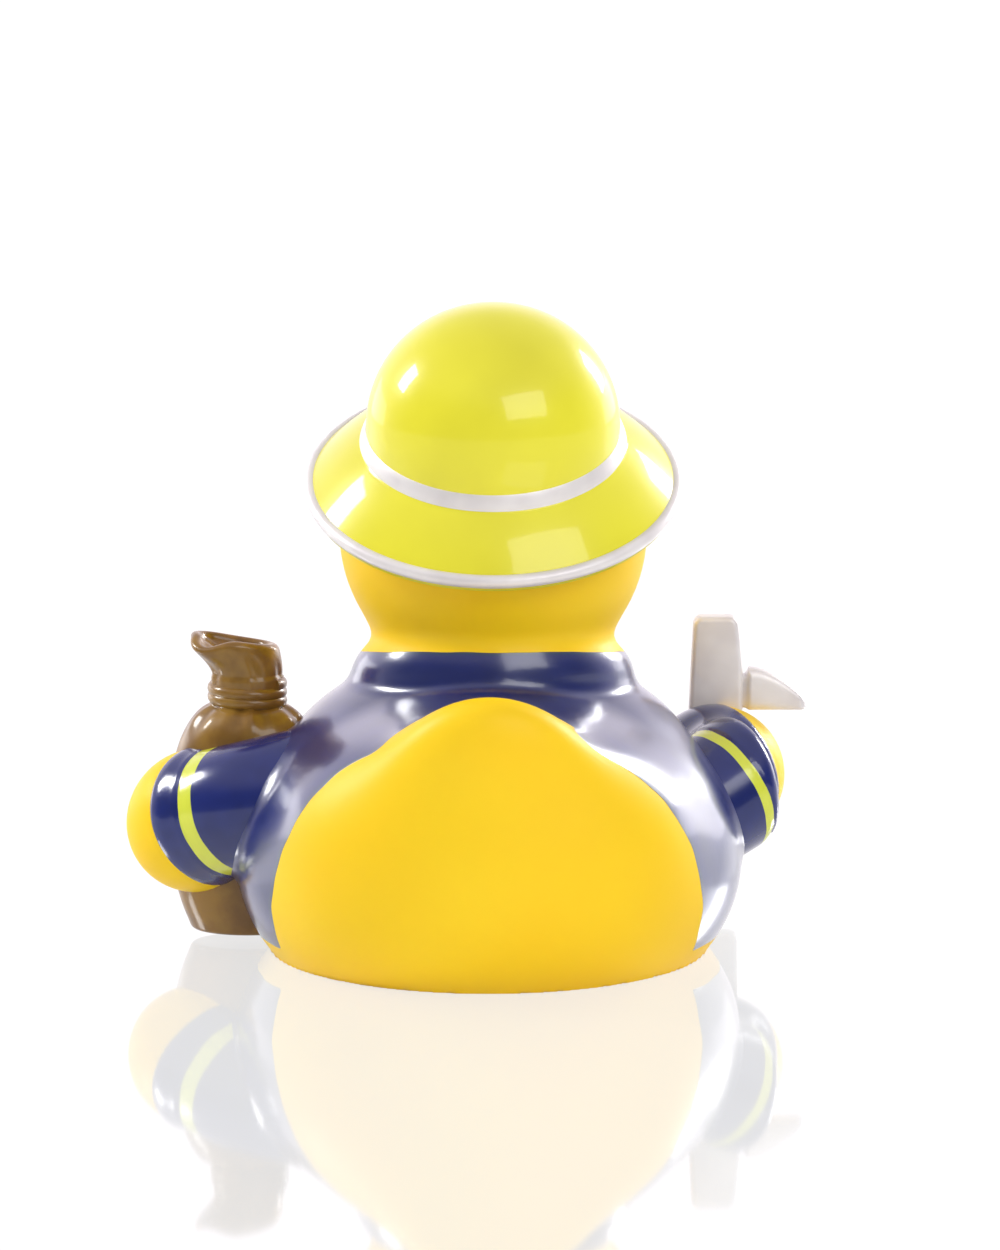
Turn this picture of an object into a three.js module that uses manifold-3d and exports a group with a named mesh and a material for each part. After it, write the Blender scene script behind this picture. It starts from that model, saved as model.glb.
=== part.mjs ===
// Rubber duck in rescue gear: one hollow moulding of soft PVC, painted, modelled as one closed solid.
// Millimetres, +Z up. The beak points to +Y and the origin is the centre of the flat base.
// Rounded parts are one smooth field with a net drawn over it. Helmet, collar, sleeves, sack and tool
// are revolved, lofted or extruded, and joined to the moulding where they grow out of it.
import * as THREE from "three";
import { mergeVertices } from "three/addons/utils/BufferGeometryUtils.js";
import Module from "manifold-3d";

// Body: an egg that is wider below, cut flat by the base
const BODY_HALF_WIDTH = 33.4;
const BODY_HALF_LENGTH = 34.5;
const BODY_WIDEST_HEIGHT = 12;
const BODY_CROWN = 25.5;
const BODY_KEEL = 23.5;
const BODY_BLEND = 6;
const BODY_SIDE = -0.2;

// Shoulders under the neck
const SHOULDER_HALF_WIDTH = 24;
const SHOULDER_HALF_LENGTH = 18.5;
const SHOULDER_HEIGHT = 24.5;
const SHOULDER_RISE = 13.5;

// Tail: a broad fan that closes into a blunt upturned tip
const TAIL_FAN_HALF_WIDTH = 23.5;
const TAIL_FAN_HALF_DEPTH = 15;
const TAIL_FAN_RISE = 15.5;
const TAIL_FAN_HEIGHT = 18.5;
const TAIL_FAN_BACK = 20;
const TAIL_TIP_HEIGHT = 39.1;
const TAIL_TIP_HALF_WIDTH = 13;
const TAIL_TIP_HALF_DEPTH = 8;
const TAIL_TIP_RISE = 13;
const TAIL_TIP_BACK = 25.5;
const TAIL_LEAN = 0.45;
const TAIL_BLEND = 8;

// Head and neck
const HEAD_RADIUS = 20.3;
const HEAD_HEIGHT = 54.6;
const HEAD_FORWARD = 6;
const HEAD_SIDE = 0.4;
const NECK_BLEND = 8.5;

// Collar roll round the neck, higher at the nape
const COLLAR_RADIUS = 15.5;
const COLLAR_ROLL_RADIUS = 2.3;
const COLLAR_HEIGHT = 36.2;
const COLLAR_TILT_DEG = 10;
const COLLAR_SKIRT = 1;

// Helmet: dome, band and sloping brim with a bead, leaning back on the head
const HELMET_LIFT = 16;
const HELMET_TILT_DEG = 23;
const HELMET_WALL = 1;
const DOME_RADIUS = 16.8;
const DOME_RISE = 16.3;
const DOME_SQUARENESS = 2.08;
const BAND_STEP = 0.6;
const BAND_HEIGHT = 1.8;
const BRIM_RADIUS = 24.9;
const BRIM_DROP = 8.5;
const BRIM_THICKNESS = 1.5;
const BEAD_RADIUS = 0.9;
const BRIM_BELLY = 0.25;

// Arms: flared sleeves with a stripe, and a rounded wing-hand
const SLEEVE_ROOT_RADIUS = 7.9;
const SLEEVE_STRIPE_RADIUS = 8.6;
const SLEEVE_CUFF_RADIUS = 9.4;
const STRIPE_WIDTH = 1.5;
const STRIPE_RAISE = 0.25;
const CUFF_LENGTH = 3.3;
const CUFF_LIP = 0.7;
const CUFF_SHORT_OF_HAND = 1.6;
const HEM_EDGE = 0.15;
const HAND_RADIUS = 9.2;
const HEEL_RADIUS = 7.9;
const HEEL_OUTREACH = 1.3;
const HEEL_DROP = 1.9;
const HEEL_BLEND = 3;
const ARM_BLEND = 2.8;

// Where each arm leaves the body, bends and ends, measured from the body's own sizes
const LEFT_SHOULDER_INSET = 14.4;
const LEFT_SHOULDER_FORWARD = 1;
const LEFT_SHOULDER_HEIGHT = 22.5;
const LEFT_ELBOW_INSET = 1.4;
const LEFT_ELBOW_BACK = 5.8;
const LEFT_ELBOW_HEIGHT = 20;
const LEFT_HAND_OUTREACH = 4.9;
const LEFT_HAND_FORWARD = 4.5;
const LEFT_HAND_HEIGHT = 16.4;
const RIGHT_SHOULDER_INSET = 15.4;
const RIGHT_SHOULDER_FORWARD = 4;
const RIGHT_SHOULDER_HEIGHT = 25;
const RIGHT_ELBOW_INSET = 4.9;
const RIGHT_ELBOW_BACK = 3;
const RIGHT_ELBOW_HEIGHT = 13.4;
const RIGHT_HAND_INSET = 4;
const RIGHT_HAND_FORWARD = 17.5;
const RIGHT_HAND_HEIGHT = 19.2;

// Tied sack, held against the left hand
const SACK_HALF_WIDTH = 10.8;
const SACK_HALF_DEPTH = 8.4;
const SACK_NECK_RADIUS = 4.9;
const SACK_MOUTH_RADIUS = 5.4;
const SACK_BOTTOM_TAPER = 2.9;
const SACK_LOW = 0.9;
const SACK_FOOT_ROUND = 1.2;
const SACK_BELLY = 1;
const SACK_SHOULDER_DROP = 9;
const SACK_BODY_HEIGHT = 30.8;
const SACK_NECK_HEIGHT = 3.3;
const SACK_MOUTH_HEIGHT = 5.2;
const SACK_FOLD = 0.5;
const SACK_SHOULDER_FOLD = 0.3;
const SACK_FOLDS = 7;
const SACK_TIE_RAISE = 0.45;
const SACK_TIES = 3;
const SACK_AHEAD_OF_HAND = 3;
const SACK_INSIDE_HAND = 6.1;
const SACK_MOUTH_LEAN = 1.9;
const SACK_LIP = 1.7;
const SACK_LIP_DIP = 0.9;
const SACK_DIP_TURN = 0.5;
const SACK_MOUTH_HOLLOW = 2.1;

// Rescue tool: flat bar with a pick, held upright by the right hand
const TOOL_WIDTH = 6.1;
const TOOL_FLARE = 1.1;
const TOOL_THICKNESS = 3.6;
const TOOL_TOP = 40.7;
const TOOL_FOOT = 2.4;
const TOOL_CORNER = 1.3;
const TOOL_BEVEL = 0.45;
const TOOL_BEYOND_HAND = 3.6;
const TOOL_OUTSIDE_HAND = 0.8;
const PICK_HEIGHT = 5.8;
const PICK_LENGTH = 8.6;
const PICK_UNDERSIDE = 27.9;
const PICK_NECK = 0.7;
const PICK_NECK_DROP = 0.9;
const PICK_NOSE = 1.5;

// Face
const BEAK_HALF_WIDTH = 9.5;
const BEAK_LENGTH = 11;
const BEAK_HALF_HEIGHT = 4;
const BEAK_DROP = 5;
const BEAK_TIP_LIFT = 2;
const BEAK_ROOT_SINK = 2.5;
const BEAK_MOUTH_PINCH = 0.28;
const BEAK_TAPER = 0.35;
const EYE_HALF_WIDTH = 2.3;
const EYE_HALF_HEIGHT = 3.2;
const EYE_HALF_DEPTH = 1;
const EYE_RAISE = 0.35;
const EYE_SPREAD_DEG = 22;
const EYE_LIFT_DEG = 6;

// Squeak hole in the underside
const VENT_RADIUS = 1.6;
const VENT_DEPTH = 4;
const VENT_BACK = 13;

// Facets
const NET_STEP = 3.1;
const HAND_STEP = 2.2;
const ROUND_SEGMENTS = 40;
const TUBE_SEGMENTS = 22;
const SACK_SEGMENTS = 28;

const degrees = THREE.MathUtils.degToRad;
const lerp = THREE.MathUtils.lerp;
const smoothstep = THREE.MathUtils.smoothstep;
const point = (x, y, z) => new THREE.Vector3(x, y, z);

// Smooth field: each form gives a distance that is negative inside

function ellipsoid(p, centre, half) {
  const x = (p.x - centre.x) / half.x;
  const y = (p.y - centre.y) / half.y;
  const z = (p.z - centre.z) / half.z;
  const reach = Math.hypot(x, y, z);
  const slope = Math.hypot(x / half.x, y / half.y, z / half.z);
  return slope < 1e-9 ? -Math.min(half.x, half.y, half.z) : (reach * (reach - 1)) / slope;
}

function taperedRod(p, from, to, radiusFrom, radiusTo) {
  const along = to.clone().sub(from);
  const share = THREE.MathUtils.clamp(p.clone().sub(from).dot(along) / along.lengthSq(), 0, 1);
  return p.distanceTo(from.clone().addScaledVector(along, share)) - lerp(radiusFrom, radiusTo, share);
}

function blend(a, b, width) {
  const overlap = Math.max(width - Math.abs(a - b), 0) / width;
  return Math.min(a, b) - (overlap * overlap * width) / 4;
}

const headCentre = point(HEAD_SIDE, HEAD_FORWARD, HEAD_HEIGHT);

function bodyField(p) {
  const vertical = p.z > BODY_WIDEST_HEIGHT ? BODY_CROWN : BODY_KEEL;
  const middle = point(BODY_SIDE, 0, BODY_WIDEST_HEIGHT);
  const egg = ellipsoid(p, middle, point(BODY_HALF_WIDTH, BODY_HALF_LENGTH, vertical));
  const shoulders = ellipsoid(
    p,
    point(0, HEAD_FORWARD, SHOULDER_HEIGHT),
    point(SHOULDER_HALF_WIDTH, SHOULDER_HALF_LENGTH, SHOULDER_RISE),
  );
  return blend(egg, shoulders, BODY_BLEND);
}

function tailField(p) {
  const fan = ellipsoid(
    p,
    point(0, -TAIL_FAN_BACK, TAIL_FAN_HEIGHT),
    point(TAIL_FAN_HALF_WIDTH, TAIL_FAN_HALF_DEPTH, TAIL_FAN_RISE),
  );
  const tipCentre = point(0, -TAIL_TIP_BACK, TAIL_TIP_HEIGHT - TAIL_TIP_RISE);
  const upright = point(p.x, p.y + TAIL_LEAN * (p.z - tipCentre.z), p.z);
  const tip = ellipsoid(upright, tipCentre, point(TAIL_TIP_HALF_WIDTH, TAIL_TIP_HALF_DEPTH, TAIL_TIP_RISE));
  return blend(fan, tip, TAIL_BLEND);
}

// Each arm is a bent path from shoulder to hand
function armPath(side, shoulder, elbow, hand) {
  const mirror = (v) => point(side * v.x, v.y, v.z);
  return new THREE.QuadraticBezierCurve3(mirror(shoulder), mirror(elbow), mirror(hand));
}

const leftArm = armPath(
  -1,
  point(BODY_HALF_WIDTH - LEFT_SHOULDER_INSET, LEFT_SHOULDER_FORWARD, LEFT_SHOULDER_HEIGHT),
  point(BODY_HALF_WIDTH - LEFT_ELBOW_INSET, -LEFT_ELBOW_BACK, LEFT_ELBOW_HEIGHT),
  point(BODY_HALF_WIDTH + LEFT_HAND_OUTREACH, LEFT_HAND_FORWARD, LEFT_HAND_HEIGHT),
);
const rightArm = armPath(
  1,
  point(BODY_HALF_WIDTH - RIGHT_SHOULDER_INSET, RIGHT_SHOULDER_FORWARD, RIGHT_SHOULDER_HEIGHT),
  point(BODY_HALF_WIDTH - RIGHT_ELBOW_INSET, -RIGHT_ELBOW_BACK, RIGHT_ELBOW_HEIGHT),
  point(BODY_HALF_WIDTH - RIGHT_HAND_INSET, RIGHT_HAND_FORWARD, RIGHT_HAND_HEIGHT),
);
const arms = [leftArm, rightArm];

// A plain core in each sleeve makes the soft fillet at the armhole
const CORE_CLEARANCE = 0.5;
const CORE_STEPS = 4;

function armCoreField(p, path) {
  let nearest = Infinity;
  for (let i = 0; i < CORE_STEPS; i++) {
    const from = i / CORE_STEPS;
    const to = (i + 1) / CORE_STEPS;
    const radius = (share) => lerp(SLEEVE_ROOT_RADIUS, SLEEVE_STRIPE_RADIUS, share) - CORE_CLEARANCE;
    const rod = taperedRod(p, path.getPoint(from), path.getPoint(to), radius(from), radius(to));
    nearest = Math.min(nearest, rod);
  }
  return nearest;
}

function mouldingField(p) {
  let field = blend(bodyField(p), tailField(p), TAIL_BLEND);
  for (const path of arms) {
    field = blend(field, armCoreField(p, path), ARM_BLEND);
  }
  return blend(field, p.distanceTo(headCentre) - HEAD_RADIUS, NECK_BLEND);
}

// Net over a field: one vertex in each grid cell that the surface crosses, one face on each crossed edge

const UNIT_STEPS = [
  [1, 0, 0],
  [0, 1, 0],
  [0, 0, 1],
];

// A grid value is never smaller than this share of a step, so that no two net vertices fall together
const LEAST_VALUE = 0.02;

function sampleField(field, low, high, step) {
  const count = ["x", "y", "z"].map((axis) => Math.ceil((high[axis] - low[axis]) / step) + 1);
  const values = new Float64Array(count[0] * count[1] * count[2]);
  const at = (i, j, k) => i + count[0] * (j + count[1] * k);
  for (let k = 0; k < count[2]; k++) {
    for (let j = 0; j < count[1]; j++) {
      for (let i = 0; i < count[0]; i++) {
        const value = field(point(low.x + i * step, low.y + j * step, low.z + k * step));
        values[at(i, j, k)] = Math.sign(value || 1) * Math.max(Math.abs(value), LEAST_VALUE * step);
      }
    }
  }
  return { count, values, at, low, step };
}

// Grid squares with two inside corners that only meet at a point would pinch the net, so they are filled
function fillPinches(grid) {
  const { count, values, at, step } = grid;
  const inside = (n) => values[n] < 0;
  const touch = -LEAST_VALUE * step;
  let filled = true;
  while (filled) {
    filled = false;
    for (let k = 0; k + 1 < count[2]; k++) {
      for (let j = 0; j + 1 < count[1]; j++) {
        for (let i = 0; i + 1 < count[0]; i++) {
          for (const [u, v] of [[0, 1], [1, 2], [2, 0]]) {
            const [a, b] = [UNIT_STEPS[u], UNIT_STEPS[v]];
            const corner = at(i, j, k);
            const alongA = at(i + a[0], j + a[1], k + a[2]);
            const alongB = at(i + b[0], j + b[1], k + b[2]);
            const across = at(i + a[0] + b[0], j + a[1] + b[1], k + a[2] + b[2]);
            if (inside(corner) && inside(across) && !inside(alongA) && !inside(alongB)) {
              values[values[alongA] < values[alongB] ? alongA : alongB] = touch;
              filled = true;
            }
            if (!inside(corner) && !inside(across) && inside(alongA) && inside(alongB)) {
              values[values[corner] < values[across] ? corner : across] = touch;
              filled = true;
            }
          }
        }
      }
    }
  }
}

function netVertex(grid, i, j, k) {
  const { values, at, low, step } = grid;
  const sum = point(0, 0, 0);
  let crossings = 0;
  for (let corner = 0; corner < 8; corner++) {
    const start = [i + (corner & 1), j + ((corner >> 1) & 1), k + ((corner >> 2) & 1)];
    for (let axis = 0; axis < 3; axis++) {
      if ((corner >> axis) & 1) continue;
      const s = UNIT_STEPS[axis];
      const a = values[at(...start)];
      const b = values[at(start[0] + s[0], start[1] + s[1], start[2] + s[2])];
      if (a < 0 === b < 0) continue;
      const share = a / (a - b);
      sum.add(point(start[0] + s[0] * share, start[1] + s[1] * share, start[2] + s[2] * share));
      crossings++;
    }
  }
  return crossings ? sum.multiplyScalar(step / crossings).add(low) : null;
}

function settleOnField(field, vertex, reach) {
  const d = 0.05;
  const fieldBeside = (axis, distance) => field(vertex.clone().addScaledVector(axis, distance));
  const gradient = point(...UNIT_STEPS.map((s) => {
    const axis = point(...s);
    return (fieldBeside(axis, d) - fieldBeside(axis, -d)) / (2 * d);
  }));
  const move = -field(vertex) / Math.max(gradient.lengthSq(), 0.25);
  return vertex.addScaledVector(gradient, THREE.MathUtils.clamp(move, -reach, reach));
}

// Each square is split along its shorter diagonal
function pushSquare(positions, triangles, ring) {
  const corner = ring.map((n) => point(...positions.slice(3 * n, 3 * n + 3)));
  const turn = corner[0].distanceTo(corner[2]) <= corner[1].distanceTo(corner[3]) ? 0 : 1;
  const [a, b, c, d] = [0, 1, 2, 3].map((n) => ring[(n + turn) % 4]);
  triangles.push(a, b, c, a, c, d);
}

function netOver(field, low, high, step) {
  const grid = sampleField(field, low, high, step);
  fillPinches(grid);
  const { count, values, at } = grid;
  const positions = [];
  const vertexAt = new Map();
  for (let k = 0; k + 1 < count[2]; k++) {
    for (let j = 0; j + 1 < count[1]; j++) {
      for (let i = 0; i + 1 < count[0]; i++) {
        const vertex = netVertex(grid, i, j, k);
        if (!vertex) continue;
        settleOnField(field, vertex, 0.3 * step);
        vertexAt.set(at(i, j, k), positions.length / 3);
        positions.push(vertex.x, vertex.y, vertex.z);
      }
    }
  }
  const triangles = [];
  for (let k = 1; k + 1 < count[2]; k++) {
    for (let j = 1; j + 1 < count[1]; j++) {
      for (let i = 1; i + 1 < count[0]; i++) {
        for (let axis = 0; axis < 3; axis++) {
          const s = UNIT_STEPS[axis];
          const near = values[at(i, j, k)] < 0;
          if (near === values[at(i + s[0], j + s[1], k + s[2])] < 0) continue;
          const u = UNIT_STEPS[(axis + 1) % 3];
          const v = UNIT_STEPS[(axis + 2) % 3];
          const back = (n, p, q) => p * u[n] + q * v[n];
          const cell = (p, q) => vertexAt.get(at(i - back(0, p, q), j - back(1, p, q), k - back(2, p, q)));
          const ring = [cell(1, 1), cell(0, 1), cell(0, 0), cell(1, 0)];
          if (!near) ring.reverse();
          pushSquare(positions, triangles, ring);
        }
      }
    }
  }
  return meshGeometry(positions, triangles);
}

function meshGeometry(positions, triangles) {
  const geometry = new THREE.BufferGeometry();
  geometry.setAttribute("position", new THREE.Float32BufferAttribute(positions, 3));
  geometry.setIndex(triangles);
  return geometry;
}

// Loft through closed rings, with a pole at each end. Rings run anticlockwise seen from the last ring.
function loft(rings, firstPole, lastPole) {
  const size = rings[0].length;
  const positions = [...firstPole.toArray()];
  for (const ring of rings) {
    for (const p of ring) positions.push(p.x, p.y, p.z);
  }
  positions.push(...lastPole.toArray());
  const last = rings.length * size + 1;
  const id = (row, n) => 1 + row * size + (n % size);
  const triangles = [];
  for (let n = 0; n < size; n++) {
    triangles.push(0, id(0, n + 1), id(0, n));
    triangles.push(last, id(rings.length - 1, n), id(rings.length - 1, n + 1));
    for (let row = 0; row + 1 < rings.length; row++) {
      triangles.push(id(row, n), id(row, n + 1), id(row + 1, n + 1));
      triangles.push(id(row, n), id(row + 1, n + 1), id(row + 1, n));
    }
  }
  return meshGeometry(positions, triangles);
}

// Solids for joining and cutting
const wasm = await Module();
wasm.setup();

function solid(geometry) {
  const bare = geometry.clone();
  bare.deleteAttribute("normal");
  bare.deleteAttribute("uv");
  const merged = mergeVertices(bare, 1e-4);
  return new wasm.Manifold(new wasm.Mesh({
    numProp: 3,
    vertProperties: new Float32Array(merged.attributes.position.array),
    triVerts: new Uint32Array(merged.index.array),
  }));
}

function revolve(profile, segments) {
  // A lathe turns about Y, and the profile is drawn as radius and height
  const geometry = new THREE.LatheGeometry(profile.map(([r, h]) => new THREE.Vector2(r, h)), segments);
  return geometry.rotateX(Math.PI / 2);
}

function arc(centreRadius, centreHeight, radius, fromDeg, toDeg, steps) {
  return Array.from({ length: steps + 1 }, (_, n) => {
    const angle = degrees(lerp(fromDeg, toDeg, n / steps));
    return [centreRadius + radius * Math.cos(angle), centreHeight + radius * Math.sin(angle)];
  });
}

// Moulding: body, tail, neck, head and arm cores, cut flat by the base
function moulding() {
  const margin = 3 * NET_STEP;
  const reach = BODY_HALF_WIDTH + LEFT_HAND_OUTREACH + HAND_RADIUS + margin;
  const tailBack = TAIL_TIP_BACK + TAIL_TIP_HALF_DEPTH + TAIL_LEAN * TAIL_TIP_RISE;
  const back = Math.max(BODY_HALF_LENGTH, TAIL_FAN_BACK + TAIL_FAN_HALF_DEPTH, tailBack);
  const front = Math.max(BODY_HALF_LENGTH, HEAD_FORWARD + HEAD_RADIUS);
  const low = point(-reach, -back - margin, BODY_WIDEST_HEIGHT - BODY_KEEL - margin);
  const high = point(reach, front + margin, HEAD_HEIGHT + HEAD_RADIUS + margin);
  const whole = solid(netOver(mouldingField, low, high, NET_STEP));
  const depth = -low.z;
  const floor = new THREE.BoxGeometry(4 * reach, 4 * reach, depth).translate(0, 0, -depth / 2);
  return whole.subtract(solid(floor));
}

// Helmet, drawn about its own axis with the dome's base at height zero
function helmet() {
  const bandRadius = DOME_RADIUS + BAND_STEP;
  const rimHeight = -BRIM_DROP;
  const rimRadius = BRIM_RADIUS - BEAD_RADIUS;
  const innerHeight = rimHeight + BRIM_THICKNESS;
  const innerRadius = Math.sqrt(HEAD_RADIUS ** 2 - (HELMET_LIFT + innerHeight) ** 2) - HELMET_WALL;
  const dome = arc(0, 0, 1, 4, 90, 12).map(([r, h]) => [
    DOME_RADIUS * r ** (2 / DOME_SQUARENESS),
    DOME_RISE * h ** (2 / DOME_SQUARENESS),
  ]);
  dome[dome.length - 1] = [0, DOME_RISE];
  const brimMiddle = [(bandRadius + BRIM_RADIUS) / 2, (rimHeight - BAND_HEIGHT) / 2 + BRIM_BELLY];
  const profile = [
    [0, innerHeight],
    [innerRadius, innerHeight],
    [rimRadius - BEAD_RADIUS, rimHeight - BRIM_THICKNESS],
    [rimRadius, rimHeight - BRIM_THICKNESS],
    ...arc(rimRadius, rimHeight, BEAD_RADIUS, -60, 100, 5),
    brimMiddle,
    [bandRadius + BAND_STEP, -BAND_HEIGHT],
    [bandRadius, 0],
    ...dome,
  ];
  const geometry = revolve(profile, ROUND_SEGMENTS);
  geometry.translate(0, 0, HELMET_LIFT);
  geometry.rotateX(degrees(HELMET_TILT_DEG));
  return geometry.translate(headCentre.x, headCentre.y, headCentre.z);
}

// Collar: a roll round the neck with a short skirt that lies on the shoulders
function collar() {
  const inner = COLLAR_RADIUS - COLLAR_ROLL_RADIUS;
  const roll = [
    ...arc(COLLAR_RADIUS, 0, COLLAR_ROLL_RADIUS, 180, 10, 8),
    [COLLAR_RADIUS + COLLAR_ROLL_RADIUS + COLLAR_SKIRT, -COLLAR_ROLL_RADIUS],
    [inner, -COLLAR_ROLL_RADIUS],
    [inner, 0],
  ];
  const geometry = revolve(roll.reverse(), ROUND_SEGMENTS);
  geometry.rotateX(-degrees(COLLAR_TILT_DEG));
  return geometry.translate(headCentre.x, headCentre.y, COLLAR_HEIGHT);
}

function ringAround(centre, along, radius) {
  const side = new THREE.Vector3().crossVectors(point(0, 0, 1), along).normalize();
  const up = new THREE.Vector3().crossVectors(along, side);
  return Array.from({ length: TUBE_SEGMENTS }, (_, n) => {
    const angle = (2 * Math.PI * n) / TUBE_SEGMENTS;
    const across = side.clone().multiplyScalar(radius * Math.cos(angle));
    return centre.clone().add(across).addScaledVector(up, radius * Math.sin(angle));
  });
}

// Sleeve: flares from the shoulder over the stripe to the cuff, which turns in round the hand
function sleeve(path) {
  const length = path.getLength();
  const cuff = 1 - CUFF_SHORT_OF_HAND / length;
  const stripeEnd = cuff - CUFF_LENGTH / length;
  const stripeStart = stripeEnd - STRIPE_WIDTH / length;
  const edge = HEM_EDGE / length;
  const flare = (t) => lerp(SLEEVE_STRIPE_RADIUS, SLEEVE_CUFF_RADIUS, (t - stripeEnd) / (cuff - stripeEnd));
  const upper = (t) => lerp(SLEEVE_ROOT_RADIUS, SLEEVE_STRIPE_RADIUS, Math.min(t / stripeStart, 1));
  const stations = [];
  const upperSteps = 7;
  for (let n = 0; n < upperSteps; n++) {
    const t = (stripeStart * n) / upperSteps;
    stations.push([t, upper(t)]);
  }
  stations.push([stripeStart - edge, SLEEVE_STRIPE_RADIUS]);
  stations.push([stripeStart + edge, SLEEVE_STRIPE_RADIUS + STRIPE_RAISE]);
  stations.push([stripeEnd - edge, SLEEVE_STRIPE_RADIUS + STRIPE_RAISE]);
  stations.push([stripeEnd + edge, SLEEVE_STRIPE_RADIUS]);
  const halfway = (stripeEnd + cuff) / 2;
  stations.push([halfway, flare(halfway)]);
  stations.push([cuff - CUFF_LIP / length, SLEEVE_CUFF_RADIUS]);
  stations.push([cuff, SLEEVE_CUFF_RADIUS - CUFF_LIP]);
  const rings = stations.map(([t, radius]) => ringAround(path.getPointAt(t), path.getTangentAt(t), radius));
  return loft(rings, path.getPointAt(0), path.getPointAt(cuff));
}

// Hand: a ball with a heel that hangs a little outwards and down
function hand(path) {
  const centre = path.getPoint(1);
  const outwards = Math.sign(centre.x);
  const heel = centre.clone().add(point(outwards * HEEL_OUTREACH, 0, -HEEL_DROP));
  const field = (p) => {
    const ball = p.distanceTo(centre) - HAND_RADIUS;
    return blend(ball, p.distanceTo(heel) - HEEL_RADIUS, HEEL_BLEND);
  };
  const reach = HAND_RADIUS + HEEL_OUTREACH + HEEL_DROP + HAND_STEP;
  const low = centre.clone().subScalar(reach);
  return netOver(field, low, centre.clone().addScalar(reach), HAND_STEP);
}

// Sack: full below, drawn in by the tie, then flared into a folded mouth
function sack() {
  const centre = leftArm.getPoint(1);
  centre.x += SACK_INSIDE_HAND;
  centre.y += SACK_AHEAD_OF_HAND;
  const shoulder = SACK_LOW + SACK_BODY_HEIGHT;
  const mouth = shoulder + SACK_NECK_HEIGHT + SACK_MOUTH_HEIGHT;
  const depthShare = SACK_HALF_DEPTH / SACK_HALF_WIDTH;
  // The mouth leans outwards, and its lip dips by "dip" on the side of the neck
  const ring = (height, halfWidth, fold, dip) => Array.from({ length: SACK_SEGMENTS }, (_, n) => {
    const angle = (2 * Math.PI * n) / SACK_SEGMENTS;
    const radius = halfWidth + fold * Math.cos(SACK_FOLDS * angle);
    const gathered = smoothstep(height, shoulder - SACK_SHOULDER_DROP, shoulder);
    const roundness = lerp(depthShare, 1, gathered);
    const lean = SACK_MOUTH_LEAN * smoothstep(height, shoulder + SACK_NECK_HEIGHT, mouth);
    return point(
      centre.x - lean + radius * Math.cos(angle),
      centre.y + radius * roundness * Math.sin(angle),
      height - dip * Math.cos(angle - SACK_DIP_TURN),
    );
  });
  const rings = [];
  // Body of the sack: a small flat bottom, a swelling side and a rounded shoulder under the tie
  const foot = SACK_HALF_WIDTH - SACK_BOTTOM_TAPER;
  rings.push(ring(SACK_LOW, foot - SACK_FOOT_ROUND, 0, 0));
  const swell = new THREE.CubicBezierCurve(
    new THREE.Vector2(foot, SACK_LOW + SACK_FOOT_ROUND / 2),
    new THREE.Vector2(SACK_HALF_WIDTH + SACK_BELLY, SACK_LOW + SACK_SHOULDER_DROP),
    new THREE.Vector2(SACK_HALF_WIDTH + SACK_BELLY, shoulder - SACK_SHOULDER_DROP / 3),
    new THREE.Vector2(SACK_NECK_RADIUS, shoulder - SACK_TIE_RAISE),
  );
  for (const p of swell.getSpacedPoints(9)) {
    const gathered = smoothstep(p.y, shoulder - SACK_SHOULDER_DROP, shoulder);
    rings.push(ring(p.y, p.x, SACK_SHOULDER_FOLD * gathered, 0));
  }
  // Turns of the tie
  const turn = SACK_NECK_HEIGHT / SACK_TIES;
  for (let n = 0; n < SACK_TIES; n++) {
    rings.push(ring(shoulder + turn * n, SACK_NECK_RADIUS, 0, 0));
    rings.push(ring(shoulder + turn * (n + 0.5), SACK_NECK_RADIUS + SACK_TIE_RAISE, 0, 0));
  }
  // Mouth: out to a soft lip, whose edge is highest away from the neck, and back down inside
  const middle = lerp(shoulder + SACK_NECK_HEIGHT, mouth, 0.5);
  const hollow = mouth - SACK_MOUTH_HOLLOW;
  rings.push(ring(shoulder + SACK_NECK_HEIGHT, SACK_NECK_RADIUS, SACK_FOLD / 2, SACK_LIP_DIP / 3));
  rings.push(ring(middle, (SACK_NECK_RADIUS + SACK_MOUTH_RADIUS) / 2, SACK_FOLD, SACK_LIP_DIP / 2));
  rings.push(ring(mouth - SACK_LIP / 2, SACK_MOUTH_RADIUS, SACK_FOLD, SACK_LIP_DIP));
  rings.push(ring(mouth, SACK_MOUTH_RADIUS - SACK_LIP / 2, SACK_FOLD, SACK_LIP_DIP));
  rings.push(ring(mouth - SACK_LIP / 2, SACK_MOUTH_RADIUS - SACK_LIP, SACK_FOLD, SACK_LIP_DIP));
  return loft(rings, point(centre.x, centre.y, SACK_LOW), point(centre.x - SACK_MOUTH_LEAN, centre.y, hollow));
}

// Tool: both pieces are outlines in the X and Z plane, extruded along Y with rounded edges
function extrudeUpright(shape, thickness, centre) {
  const geometry = new THREE.ExtrudeGeometry(shape, {
    depth: thickness - 2 * TOOL_BEVEL,
    bevelThickness: TOOL_BEVEL,
    bevelSize: TOOL_BEVEL,
    bevelOffset: -TOOL_BEVEL,
    bevelSegments: 2,
    curveSegments: 5,
  });
  geometry.rotateX(Math.PI / 2);
  return geometry.translate(centre.x, centre.y + thickness / 2 - TOOL_BEVEL, 0);
}

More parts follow.
